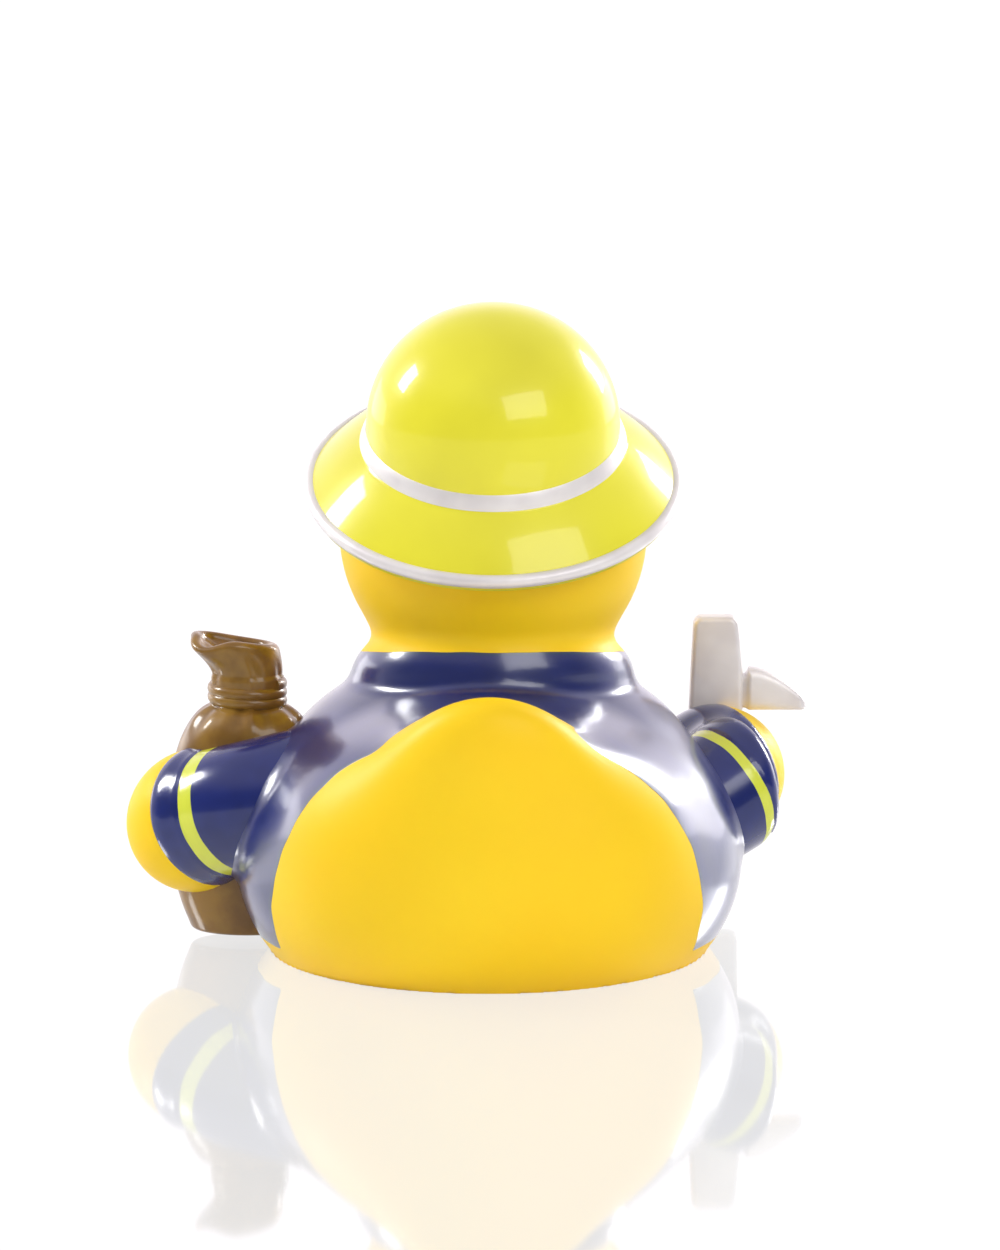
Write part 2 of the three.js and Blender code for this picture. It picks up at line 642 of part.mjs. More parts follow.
function toolParts() {
  const centre = rightArm.getPoint(1);
  centre.x += TOOL_OUTSIDE_HAND;
  centre.y += TOOL_BEYOND_HAND;
  const half = TOOL_WIDTH / 2;
  const wide = half + TOOL_FLARE / 2;
  const bar = new THREE.Shape();
  bar.moveTo(-half, TOOL_FOOT + TOOL_CORNER);
  bar.absarc(-half + TOOL_CORNER, TOOL_FOOT + TOOL_CORNER, TOOL_CORNER, Math.PI, 1.5 * Math.PI);
  bar.absarc(half - TOOL_CORNER, TOOL_FOOT + TOOL_CORNER, TOOL_CORNER, 1.5 * Math.PI, 2 * Math.PI);
  bar.lineTo(wide, PICK_UNDERSIDE);
  bar.lineTo(wide, PICK_UNDERSIDE + PICK_HEIGHT);
  bar.absarc(half - TOOL_CORNER, TOOL_TOP - TOOL_CORNER, TOOL_CORNER, 0, 0.5 * Math.PI);
  bar.absarc(-half + TOOL_CORNER, TOOL_TOP - TOOL_CORNER, TOOL_CORNER, 0.5 * Math.PI, Math.PI);
  bar.lineTo(-wide, PICK_UNDERSIDE);
  bar.closePath();
  const pick = new THREE.Shape();
  const root = wide + PICK_NECK;
  const top = PICK_UNDERSIDE + PICK_HEIGHT;
  const tipX = wide + PICK_LENGTH;
  const noseStart = tipX - PICK_NOSE / 2;
  pick.moveTo(root, PICK_UNDERSIDE);
  pick.lineTo(noseStart, PICK_UNDERSIDE);
  const noseTop = PICK_UNDERSIDE + PICK_NOSE;
  const noseBottom = PICK_UNDERSIDE + PICK_NOSE / 15;
  pick.quadraticCurveTo(tipX + PICK_NOSE / 4, noseBottom, tipX - PICK_NOSE / 3, noseTop);
  pick.quadraticCurveTo((root + tipX) / 2 + PICK_NOSE / 4, top - PICK_NECK_DROP / 2, root, top);
  pick.closePath();
  const neck = new THREE.Shape();
  const neckEnd = root + PICK_NECK;
  neck.moveTo(0, PICK_UNDERSIDE + PICK_NECK_DROP / 3);
  neck.lineTo(neckEnd, PICK_UNDERSIDE + PICK_NECK_DROP / 3);
  neck.lineTo(neckEnd, top - PICK_NECK_DROP);
  neck.lineTo(0, top - PICK_NECK_DROP);
  neck.closePath();
  return [
    extrudeUpright(bar, TOOL_THICKNESS, centre),
    extrudeUpright(pick, TOOL_THICKNESS, centre),
    extrudeUpright(neck, TOOL_THICKNESS - PICK_NECK_DROP, centre),
  ];
}

// Beak: a flattened ball, pinched along the mouth line and lifted towards its tip
function beak() {
  const geometry = new THREE.SphereGeometry(1, 28, 18);
  const position = geometry.attributes.position;
  const start = headCentre.clone().add(point(0, HEAD_RADIUS - BEAK_ROOT_SINK, -BEAK_DROP));
  for (let n = 0; n < position.count; n++) {
    const [x, y, z] = [position.getX(n), position.getY(n), position.getZ(n)];
    const ahead = Math.max(y, 0);
    const nearMouthLine = 1 - smoothstep(Math.abs(z), 0, BEAK_TAPER);
    const lips = 1 - BEAK_MOUTH_PINCH * nearMouthLine;
    position.setXYZ(
      n,
      start.x + x * BEAK_HALF_WIDTH * lips,
      start.y + y * (y > 0 ? BEAK_LENGTH * lips : BEAK_HALF_HEIGHT),
      start.z + z * BEAK_HALF_HEIGHT * (1 - BEAK_TAPER * ahead) + BEAK_TIP_LIFT * ahead * ahead,
    );
  }
  return geometry;
}

// Eyes: thin ovals that stand a little proud of the head
function eye(side) {
  const geometry = new THREE.SphereGeometry(1, 14, 10);
  geometry.scale(EYE_HALF_WIDTH, EYE_HALF_DEPTH, EYE_HALF_HEIGHT);
  geometry.translate(0, HEAD_RADIUS - EYE_HALF_DEPTH + EYE_RAISE, 0);
  geometry.rotateX(degrees(EYE_LIFT_DEG));
  geometry.rotateZ(-side * degrees(EYE_SPREAD_DEG));
  return geometry.translate(headCentre.x, headCentre.y, headCentre.z);
}

// Squeak hole: a blind bore in the base, behind its centre
function vent() {
  const bore = new THREE.CylinderGeometry(VENT_RADIUS, VENT_RADIUS, 2 * VENT_DEPTH, 16);
  bore.rotateX(Math.PI / 2);
  return bore.translate(0, -VENT_BACK, 0);
}

function duck() {
  let whole = moulding();
  const grown = [
    helmet(),
    collar(),
    ...arms.map(sleeve),
    ...arms.map(hand),
    sack(),
    ...toolParts(),
    beak(),
    eye(-1),
    eye(1),
  ];
  for (const piece of grown) {
    whole = whole.add(solid(piece));
  }
  whole = whole.subtract(solid(vent()));
  const mesh = whole.getMesh();
  const geometry = meshGeometry(Array.from(mesh.vertProperties), Array.from(mesh.triVerts));
  geometry.computeVertexNormals();
  const paintedPvc = new THREE.MeshStandardMaterial({ color: 0xfad429, roughness: 0.35, metalness: 0 });
  const piece = new THREE.Mesh(geometry, paintedPvc);
  piece.name = "duck";
  return piece;
}

const model = new THREE.Group();
model.add(duck());
export default model;
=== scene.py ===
"""Rubber duck in rescue gear, seen from behind on a pale glossy floor.

One hollow PVC moulding, yellow where it is left bare and painted elsewhere. Sizes are the real ones in
millimetres and become metres in the meshes. The beak points to +Y and +Z is up.
"""
import math
import bmesh
import bpy
import numpy as np
from mathutils import Matrix, Vector


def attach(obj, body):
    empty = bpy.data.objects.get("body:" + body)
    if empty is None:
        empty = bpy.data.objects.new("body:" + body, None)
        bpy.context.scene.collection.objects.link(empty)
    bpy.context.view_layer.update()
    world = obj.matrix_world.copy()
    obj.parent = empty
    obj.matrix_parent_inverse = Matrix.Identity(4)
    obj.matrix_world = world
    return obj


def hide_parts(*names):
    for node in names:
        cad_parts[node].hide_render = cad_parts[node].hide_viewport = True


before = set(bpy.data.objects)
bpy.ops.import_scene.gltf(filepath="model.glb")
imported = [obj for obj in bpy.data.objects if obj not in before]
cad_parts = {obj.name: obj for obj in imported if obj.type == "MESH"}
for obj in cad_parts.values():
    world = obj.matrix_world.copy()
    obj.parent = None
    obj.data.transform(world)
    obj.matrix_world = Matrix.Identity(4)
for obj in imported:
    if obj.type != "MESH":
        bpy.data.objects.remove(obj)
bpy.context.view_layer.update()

MM = 0.001

# Body, shoulders and tail
BODY_CENTRE = (-0.2, 0, 12)
BODY_HALF = (33.4, 34.5, 25.5)
BODY_KEEL = 23.5
SHOULDER_CENTRE = (0, 6, 24.5)
SHOULDER_HALF = (24, 18.5, 13.5)
BODY_BLEND = 6
TAIL_FAN_CENTRE = (0, -20, 18.5)
TAIL_FAN_HALF = (23.5, 15, 15.5)
TAIL_TIP_HALF = (13, 8, 13)
TAIL_TIP_CENTRE = (0, -25.5, 26.1)
TAIL_LEAN = 0.45
TAIL_BLEND = 8

# Head, collar and helmet
HEAD_CENTRE = (0.4, 6, 54.6)
HEAD_RADIUS = 20.3
NECK_BLEND = 8.5
COLLAR_CENTRE = (0.4, 6, 36.2)
COLLAR_TILT = 10
COLLAR_RADIUS = 15.5
COLLAR_ROLL = 2.3
COLLAR_BLEND = 3.5
NECKLINE = 2.2
HELMET_LIFT = 16
HELMET_TILT = 23
DOME_RADIUS = 16.7
DOME_RISE = 16.3
DOME_SQUARENESS = 2.08
BAND_STEP = 0.6
BAND_HEIGHT = 1.8
BAND_RAISE = 0.18
BRIM_RADIUS = 24.9
BRIM_DROP = 8.5
BRIM_THICKNESS = 1.5
BEAD_RADIUS = 0.9

# Left arm, as shoulder, elbow and hand points of one smooth bend
LEFT_ARM = ((-19, 1, 22.5), (-32, -5.8, 20), (-38.3, 4.5, 16.4))
SLEEVE_ROOT = 7.9
SLEEVE_STRIPE = 8.6
SLEEVE_CUFF = 9.4
LEFT_STRIPE_WIDTH = 2.3
RIGHT_STRIPE_WIDTH = 1.5
HEM_RAISE = 0.2
HEM_EDGE = 0.15
CUFF_LENGTH = 3.3
CUFF_LIP = 0.7
CUFF_SHORT_OF_HAND = 1.6
HAND_RADIUS = 9.2
HEEL_RADIUS = 7.9
HEEL_OUTREACH = 1.3
HEEL_DROP = 1.3
HEEL_BLEND = 3
ARM_BLEND = 2.8
CORE_CLEARANCE = 0.5

# Right arm: a straight sleeve up to its stripe, whose hand curls forward round the tool
RIGHT_STRIPE_MIDDLE = (31.4, 6, 19.9)
RIGHT_SLEEVE_WAY = (0.747, 0.532, 0.4)
RIGHT_SLEEVE_LENGTH = 15
RIGHT_CORE_SHORT = 6
RIGHT_SLIM = 0.2
RIGHT_HEM_PAST = 0.25
RIGHT_CUFF = (33.1, 7.4, 20.8)
RIGHT_CUFF_WAY = (0.857, 0.489, 0.16)
RIGHT_CUFF_ROUND = 2.2
RIGHT_CUFF_SLIM = 1
RIGHT_CUFF_RAISE = 0.2
RIGHT_HAND = (30.2, 17.3, 19.8)
RIGHT_BARE_WAY = (0.757, 0.603, 0.252)
RIGHT_BARE_FROM = 3.6

# Sack
SACK_CENTRE = (-32.2, 7.5)
SACK_HALF = (10.8, 8.4)
SACK_LOW = 0.9
SACK_BODY = 30.8
SACK_NECK = 3.3
SACK_MOUTH = 5.2
SACK_NECK_RADIUS = 4.9
SACK_MOUTH_RADIUS = 5.4
SACK_FOOT = 7.9
SACK_BELLY = 1
SACK_SHOULDER_DROP = 9
SACK_MOUTH_LEAN = 1.9
SACK_FOOT_ROUND = 0.9
SACK_LIP_ROLL = 0.8
SACK_LIP_DROP = 0.9
TIE_CORD_RADIUS = 0.95
TIE_TURNS = 2.1

# Tool
TOOL_CENTRE = (30.2, 21.1)
TOOL_WIDTH = 6.1
TOOL_FLARE = 1.1
TOOL_THICKNESS = 3.6
TOOL_TOP = 40.7
TOOL_FOOT = 2.4
TOOL_CORNER = 1.3
TOOL_BEVEL = 0.7
PICK_UNDERSIDE = 27.9
PICK_HEIGHT = 5.8
PICK_LENGTH = 8.6
PICK_NECK = 0.9

# Face
BEAK_HALF_WIDTH = 9.5
BEAK_LENGTH = 11
BEAK_HALF_HEIGHT = 4
BEAK_DROP = 5
BEAK_TIP_LIFT = 2
EYE_HALF = (2.3, 1, 3.2)
EYE_RAISE = 0.35
EYE_SPREAD = 22
EYE_LIFT = 6

# Paint edges on the moulding: height and half width of the yellow rump, which takes in the tail above
RUMP_EDGE = ((1.5, 26.5), (4, 27.4), (9, 28.3), (13.5, 27.7), (17.5, 26.6), (21.5, 24.7), (24.5, 22.9),
             (28, 19.3), (31.2, 14.4), (33.3, 12), (34.7, 10.8), (36, 9.6), (37.9, 8.2), (40, 7))
RUMP_SIDE_SHIFT = -0.35
RUMP_FRONT_LOW = -13
RUMP_FRONT_HIGH = -26.5
HEM_HEIGHT = 2.6

FINE_STEP = 0.6
ARM_STEP = 0.4
HAND_STEP = 0.5


# Shapes as smooth fields, negative inside

def ellipsoid(p, centre, half):
    q = (p - np.array(centre, float)) / np.array(half, float)
    reach = np.linalg.norm(q, axis=-1)
    slope = np.linalg.norm(q / np.array(half, float), axis=-1)
    return reach * (reach - 1) / np.maximum(slope, 1e-9)


def tapered_rod(p, start, end, radius_start, radius_end):
    start, end = np.array(start, float), np.array(end, float)
    along = end - start
    share = np.clip((p - start) @ along / (along @ along), 0, 1)
    nearest = start + share[..., None] * along
    return np.linalg.norm(p - nearest, axis=-1) - (radius_start + share * (radius_end - radius_start))


def blend(a, b, width):
    overlap = np.maximum(width - np.abs(a - b), 0) / width
    return np.minimum(a, b) - overlap * overlap * width / 4


def smoothstep(value, low, high):
    t = np.clip((np.asarray(value, float) - low) / (high - low), 0, 1)
    return t * t * (3 - 2 * t)


def bend_point(arm, t):
    a, b, c = (np.array(q, float) for q in arm)
    return (1 - t) ** 2 * a + 2 * t * (1 - t) * b + t * t * c


def body_field(p):
    upper = ellipsoid(p, BODY_CENTRE, BODY_HALF)
    lower = ellipsoid(p, BODY_CENTRE, (BODY_HALF[0], BODY_HALF[1], BODY_KEEL))
    egg = np.where(p[..., 2] > BODY_CENTRE[2], upper, lower)
    return blend(egg, ellipsoid(p, SHOULDER_CENTRE, SHOULDER_HALF), BODY_BLEND)


def tail_field(p):
    upright = p.copy()
    upright[..., 1] += TAIL_LEAN * (p[..., 2] - TAIL_TIP_CENTRE[2])
    fan = ellipsoid(p, TAIL_FAN_CENTRE, TAIL_FAN_HALF)
    return blend(fan, ellipsoid(upright, TAIL_TIP_CENTRE, TAIL_TIP_HALF), TAIL_BLEND)


def arm_field(p, arm):
    steps = 5
    nearest = None
    for i in range(steps):
        ends = (i / steps, (i + 1) / steps)
        radii = [SLEEVE_ROOT + t * (SLEEVE_STRIPE - SLEEVE_ROOT) - CORE_CLEARANCE for t in ends]
        rod = tapered_rod(p, bend_point(arm, ends[0]), bend_point(arm, ends[1]), *radii)
        nearest = rod if nearest is None else np.minimum(nearest, rod)
    return nearest


def above_collar(p):
    """Height over the collar's tilted middle plane."""
    tilt = math.radians(COLLAR_TILT)
    return (p[..., 2] - COLLAR_CENTRE[2]) * math.cos(tilt) + (p[..., 1] - COLLAR_CENTRE[1]) * math.sin(tilt)


def collar_field(p):
    tilt = math.radians(COLLAR_TILT)
    ahead = (p[..., 1] - COLLAR_CENTRE[1]) * math.cos(tilt) - (p[..., 2] - COLLAR_CENTRE[2]) * math.sin(tilt)
    outward = np.hypot(p[..., 0] - COLLAR_CENTRE[0], ahead)
    return np.hypot(outward - COLLAR_RADIUS, above_collar(p)) - COLLAR_ROLL


def right_arm_root():
    return np.array(RIGHT_STRIPE_MIDDLE, float) - RIGHT_SLEEVE_LENGTH * np.array(RIGHT_SLEEVE_WAY)


def right_sleeve_core(p):
    end = np.array(RIGHT_STRIPE_MIDDLE, float) - RIGHT_CORE_SHORT * np.array(RIGHT_SLEEVE_WAY)
    radii = (SLEEVE_ROOT - CORE_CLEARANCE, SLEEVE_STRIPE - 2 * CORE_CLEARANCE)
    return tapered_rod(p, right_arm_root(), end, *radii)


def moulding_field(p):
    field = blend(body_field(p), tail_field(p), TAIL_BLEND)
    field = blend(field, arm_field(p, LEFT_ARM), ARM_BLEND)
    field = blend(field, right_sleeve_core(p), ARM_BLEND)
    head = np.linalg.norm(p - np.array(HEAD_CENTRE, float), axis=-1) - HEAD_RADIUS
    return blend(blend(field, head, NECK_BLEND), collar_field(p), COLLAR_BLEND)


def beyond_plane(p, centre, way):
    return (p - np.array(centre, float)) @ np.array(way, float)


def right_arm_bare(p):
    return beyond_plane(p, RIGHT_HAND, RIGHT_BARE_WAY) - RIGHT_BARE_FROM


def right_arm_past_hem(p):
    return beyond_plane(p, RIGHT_STRIPE_MIDDLE, RIGHT_SLEEVE_WAY) - RIGHT_STRIPE_WIDTH / 2 - RIGHT_HEM_PAST


def right_arm_field(p):
    stripe_radius = SLEEVE_STRIPE - RIGHT_SLIM
    sleeve = tapered_rod(p, right_arm_root(), RIGHT_STRIPE_MIDDLE, SLEEVE_ROOT, stripe_radius)
    last = tapered_rod(p, RIGHT_STRIPE_MIDDLE, RIGHT_CUFF, stripe_radius, SLEEVE_CUFF - RIGHT_CUFF_SLIM)
    # The rod's side and the flat cut at the cuff meet in a rounded rim
    past_cuff = beyond_plane(p, RIGHT_CUFF, RIGHT_CUFF_WAY) - RIGHT_CUFF_ROUND / 2
    tube = -blend(-np.minimum(sleeve, last), -past_cuff, RIGHT_CUFF_ROUND)
    ball = np.linalg.norm(p - np.array(RIGHT_HAND, float), axis=-1) - HAND_RADIUS + RIGHT_SLIM
    raised = HEM_RAISE * smoothstep(right_arm_past_hem(p), -HEM_EDGE, HEM_EDGE)
    sleeved = RIGHT_CUFF_RAISE * (1 - smoothstep(right_arm_bare(p), -HEM_EDGE, HEM_EDGE))
    return blend(tube, ball, HEEL_BLEND) - raised - sleeved


# Net over a field: a vertex in each grid cell that the surface crosses, a square on each crossed edge

def settle(field, points, rounds=2):
    """Move points along the field's slope until they lie on its surface."""
    d = 0.02
    for _ in range(rounds):
        slope = np.stack([field(points + d * e) - field(points - d * e) for e in np.eye(3)], -1) / (2 * d)
        move = -field(points) / np.maximum((slope ** 2).sum(-1), 0.25)
        points = points + slope * np.clip(move, -0.4, 0.4)[:, None]
    return points


def net_over(field, low, high, step, floor=None):
    counts = [int(math.ceil((h - l) / step)) + 1 for l, h in zip(low, high)]
    axes = [l + step * np.arange(n) for l, n in zip(low, counts)]
    ys, zs = np.meshgrid(axes[1], axes[2], indexing="ij")
    values = np.empty(counts)
    for i, x in enumerate(axes[0]):
        values[i] = field(np.stack([np.full_like(ys, x), ys, zs], -1))
    if floor is not None:
        values = np.maximum(values, floor - axes[2])
    inside = values < 0
    cells = [n - 1 for n in counts]
    total = np.zeros(cells + [3])
    crossings = np.zeros(cells)
    edges = []
    for axis in range(3):
        first = [slice(None)] * 3
        second = [slice(None)] * 3
        first[axis], second[axis] = slice(0, -1), slice(1, None)
        a, b = values[tuple(first)], values[tuple(second)]
        crossed = inside[tuple(first)] != inside[tuple(second)]
        where = np.argwhere(crossed)
        share = a[crossed] / (a[crossed] - b[crossed])
        place = where.astype(float)
        place[:, axis] += share
        edges.append((axis, where, inside[tuple(first)][crossed]))
        u, v = (axis + 1) % 3, (axis + 2) % 3
        for du in (0, 1):
            for dv in (0, 1):
                cell = where.copy()
                cell[:, u] -= du
                cell[:, v] -= dv
                good = ((cell >= 0) & (cell < np.array(cells))).all(1)
                index = tuple(cell[good].T)
                np.add.at(total, index, place[good])
                np.add.at(crossings, index, 1)
    active = crossings > 0
    number = np.full(cells, -1)
    number[active] = np.arange(active.sum())
    points = np.array(low) + step * total[active] / crossings[active][:, None]
    squares = []
    for axis, where, near_inside in edges:
        u, v = (axis + 1) % 3, (axis + 2) % 3
        ring = []
        for du, dv in ((1, 1), (0, 1), (0, 0), (1, 0)):
            cell = where.copy()
            cell[:, u] -= du
            cell[:, v] -= dv
            ring.append(number[tuple(cell.T)])
        ring = np.stack(ring, -1)
        ring[~near_inside] = ring[~near_inside][:, ::-1]
        squares.append(ring)
    return points, np.concatenate(squares)


# Meshes

def mesh_object(name, points, faces, smooth=True, sharp_degrees=None):
    """A mesh from points in millimetres, with its place in its vertices."""
    mesh = bpy.data.meshes.new(name)
    mesh.from_pydata((np.asarray(points) * MM).tolist(), [], np.asarray(faces).tolist()
                     if isinstance(faces, np.ndarray) else faces)
    mesh.update()
    if smooth:
        mesh.shade_smooth()
    if sharp_degrees is not None:
        mesh.set_sharp_from_angle(angle=math.radians(sharp_degrees))
    piece = bpy.data.objects.new(name, mesh)
    bpy.context.scene.collection.objects.link(piece)
    return piece


def sharpen(piece, degrees):
    piece.data.set_sharp_from_angle(angle=math.radians(degrees))


def set_attribute(piece, name, values):
    attribute = piece.data.attributes.new(name, "FLOAT", "POINT")
    attribute.data.foreach_set("value", np.asarray(values, np.float32))


def loft(name, rings, first_pole, last_pole, sharp_degrees=40):
    """Closed skin through rings of points, with a pole at each end."""
    rings = np.asarray(rings)
    rows, size = rings.shape[:2]
    points = np.concatenate([[first_pole], rings.reshape(-1, 3), [last_pole]])
    last = len(points) - 1
    n = np.arange(size)
    nxt = (n + 1) % size
    faces = [(0, 1 + b, 1 + a) for a, b in zip(n, nxt)]
    faces += [(last, 1 + (rows - 1) * size + a, 1 + (rows - 1) * size + b) for a, b in zip(n, nxt)]
    for row in range(rows - 1):
        low, high = 1 + row * size, 1 + (row + 1) * size
        faces += [(low + a, low + b, high + b, high + a) for a, b in zip(n, nxt)]
    return mesh_object(name, points, faces, sharp_degrees=sharp_degrees)


def tilt_about_x(degrees):
    return Matrix.Rotation(math.radians(degrees), 4, "X")


def helmet_place():
    lift = Matrix.Translation((0, 0, HELMET_LIFT * MM))
    return Matrix.Translation(Vector(HEAD_CENTRE) * MM) @ tilt_about_x(HELMET_TILT) @ lift


# Geometry Nodes

def add_node(tree, kind, inputs=None, **settings):
    """One node with its settings; an input is a socket to link or a plain value."""
    made = tree.nodes.new(kind)
    for name, value in settings.items():
        setattr(made, name, value)
    for key, value in (inputs or {}).items():
        if isinstance(value, bpy.types.NodeSocket):
            tree.links.new(value, made.inputs[key])
        else:
            made.inputs[key].default_value = value
    return made


def new_geometry_tree(name, sizes):
    """A tree with a geometry input, the named sizes and a material."""
    tree = bpy.data.node_groups.new(name, "GeometryNodeTree")
    tree.interface.new_socket("Geometry", in_out="INPUT", socket_type="NodeSocketGeometry")
    for size, kind in sizes.items():
        tree.interface.new_socket(size, in_out="INPUT", socket_type=kind)
    tree.interface.new_socket("Material", in_out="INPUT", socket_type="NodeSocketMaterial")
    tree.interface.new_socket("Geometry", in_out="OUTPUT", socket_type="NodeSocketGeometry")
    return tree, add_node(tree, "NodeGroupInput")


def end_geometry_tree(tree, source, geometry):
    realized = add_node(tree, "GeometryNodeRealizeInstances", {"Geometry": geometry})
    painted = add_node(tree, "GeometryNodeSetMaterial",
                       {"Geometry": realized.outputs[0], "Material": source.outputs["Material"]})
    add_node(tree, "NodeGroupOutput", {"Geometry": painted.outputs[0]})


def revolve_tree():
    """Turn a profile, drawn as outward and downward, once round the Z axis."""
    inputs = {"Around": "NodeSocketInt", "Axis Gap": "NodeSocketFloat"}
    tree, source = new_geometry_tree("turned_profile", inputs)
    axis = add_node(tree, "GeometryNodeCurvePrimitiveCircle",
                    {"Resolution": source.outputs["Around"], "Radius": source.outputs["Axis Gap"]})
    profile = add_node(tree, "GeometryNodeMeshToCurve", {"Mesh": source.outputs["Geometry"]})
    turned = add_node(tree, "GeometryNodeCurveToMesh",
                      {"Curve": axis.outputs[0], "Profile Curve": profile.outputs[0]})
    merged = add_node(tree, "GeometryNodeMergeByDistance", {"Geometry": turned.outputs[0], "Distance": 4e-6})
    smooth = add_node(tree, "GeometryNodeSetShadeSmooth", {"Geometry": merged.outputs[0]})
    end_geometry_tree(tree, source, smooth.outputs[0])
    return tree


def ring_tree():
    """Sweep a rounded rectangular section round a circle."""
    tree, source = new_geometry_tree("ring", {
        "Radius": "NodeSocketFloat", "Width": "NodeSocketFloat", "Height": "NodeSocketFloat",
        "Corner": "NodeSocketFloat", "Around": "NodeSocketInt"})
    circle = add_node(tree, "GeometryNodeCurvePrimitiveCircle",
                      {"Resolution": source.outputs["Around"], "Radius": source.outputs["Radius"]})
    section = add_node(tree, "GeometryNodeCurvePrimitiveQuadrilateral",
                       {"Width": source.outputs["Width"], "Height": source.outputs["Height"]})
    rounded = add_node(tree, "GeometryNodeFilletCurve",
                       {"Curve": section.outputs[0], "Count": 7, "Radius": source.outputs["Corner"],
                        "Limit Radius": True}, mode="POLY")
    swept = add_node(tree, "GeometryNodeCurveToMesh",
                     {"Curve": circle.outputs[0], "Profile Curve": rounded.outputs[0]})
    smooth = add_node(tree, "GeometryNodeSetShadeSmooth", {"Geometry": swept.outputs[0]})
    end_geometry_tree(tree, source, smooth.outputs[0])
    return tree


def cord_turns_tree():
    """Wind a cord in close turns round the sack's neck."""
    tree, source = new_geometry_tree("cord_turns", {
        "Turns": "NodeSocketFloat", "Radius": "NodeSocketFloat", "Rise": "NodeSocketFloat",
        "Cord Radius": "NodeSocketFloat", "Steps": "NodeSocketInt"})
    winding = add_node(tree, "GeometryNodeCurveSpiral", {
        "Resolution": source.outputs["Steps"], "Rotations": source.outputs["Turns"],
        "Start Radius": source.outputs["Radius"], "End Radius": source.outputs["Radius"],
        "Height": source.outputs["Rise"]})
    section = add_node(tree, "GeometryNodeCurvePrimitiveCircle",
                       {"Resolution": 14, "Radius": source.outputs["Cord Radius"]})
    swept = add_node(tree, "GeometryNodeCurveToMesh",
                     {"Curve": winding.outputs[0], "Profile Curve": section.outputs[0], "Fill Caps": True})
    smooth = add_node(tree, "GeometryNodeSetShadeSmooth", {"Geometry": swept.outputs[0]})
    end_geometry_tree(tree, source, smooth.outputs[0])
    return tree


def grown_from(tree, name, material, place, start=None, **sizes):
    """Run a tree once and keep its result as a plain mesh, put in place."""
    mesh = start or bpy.data.meshes.new(name + "_start")
    carrier = bpy.data.objects.new(name + "_carrier", mesh)
    bpy.context.scene.collection.objects.link(carrier)
    modifier = carrier.modifiers.new("grow", "NODES")
    modifier.node_group = tree
    wanted = {key.replace("_", " "): value for key, value in sizes.items()}
    wanted["Material"] = material
    for item in tree.interface.items_tree:
        if item.in_out == "INPUT" and item.name in wanted:
            modifier[item.identifier] = wanted[item.name]
    graph = bpy.context.evaluated_depsgraph_get()
    result = bpy.data.meshes.new_from_object(carrier.evaluated_get(graph))
    carrier.modifiers.remove(modifier)
    bpy.data.objects.remove(carrier)
    made = bmesh.new()
    made.from_mesh(result)
    bmesh.ops.remove_doubles(made, verts=made.verts, dist=2e-7)
    bmesh.ops.recalc_face_normals(made, faces=made.faces)
    made.to_mesh(result)
    made.free()
    result.transform(place)
    result.name = name
    piece = bpy.data.objects.new(name, result)
    bpy.context.scene.collection.objects.link(piece)
    return piece


# Materials

def linear(hex_colour):
    """sRGB hex to the linear colour that shaders use."""
    parts = [int(hex_colour[i:i + 2], 16) / 255 for i in (1, 3, 5)]
    return [c / 12.92 if c <= 0.04045 else ((c + 0.055) / 1.055) ** 2.4 for c in parts] + [1]


def new_material(name):
    material = bpy.data.materials.new(name)
    material.use_nodes = True
    tree = material.node_tree
    return material, tree, tree.nodes["Principled BSDF"]


def object_place(tree):
    return add_node(tree, "ShaderNodeTexCoord").outputs["Object"]


def noise(tree, feature_mm, detail=2.0, seed=0.0):
    """Noise whose features are about this many millimetres across."""
    shifted = add_node(tree, "ShaderNodeMapping",
                       {"Vector": object_place(tree), "Location": (seed, seed, seed)})
    made = add_node(tree, "ShaderNodeTexNoise",
                    {"Vector": shifted.outputs[0], "Scale": 1 / (feature_mm * MM), "Detail": detail})
    return made.outputs["Fac"]


def ramp(tree, value, low, high, to_low=0.0, to_high=1.0):
    return add_node(tree, "ShaderNodeMapRange",
                    {"Value": value, "From Min": low, "From Max": high, "To Min": to_low, "To Max": to_high},
                    interpolation_type="SMOOTHSTEP").outputs["Result"]


def mix_colour(tree, share, a, b):
    made = add_node(tree, "ShaderNodeMix", data_type="RGBA")
    for socket, value in ((made.inputs[0], share), (made.inputs[6], a), (made.inputs[7], b)):
        if isinstance(value, bpy.types.NodeSocket):
            tree.links.new(value, socket)
        else:
            socket.default_value = value
    return made.outputs[2]


def mix_value(tree, share, a, b):
    made = add_node(tree, "ShaderNodeMix", {"Factor": share}, data_type="FLOAT")
    for socket, value in ((made.inputs[2], a), (made.inputs[3], b)):
        if isinstance(value, bpy.types.NodeSocket):
            tree.links.new(value, socket)
        else:
            socket.default_value = value
    return made.outputs[0]


def attribute_value(tree, name):
    return add_node(tree, "ShaderNodeAttribute", attribute_name=name).outputs["Fac"]


def bump(tree, height, depth_mm, normal=None):
    inputs = {"Height": height, "Strength": 1.0, "Distance": depth_mm * MM}
    if normal is not None:
        inputs["Normal"] = normal
    return add_node(tree, "ShaderNodeBump", inputs).outputs[0]


YELLOW = "#fdd41c"
YELLOW_DEEP = "#fbcc17"
NAVY = "#172463"
NAVY_WARM = "#1d2a70"
EDGE_BLUE = "#1e3a5c"
LIME = "#d8df45"
BARE_SPECULAR = 0.25
HELMET_LIME = "#ece436"
HELMET_LIME_DEEP = "#e3da30"
ORANGE = "#f0761a"


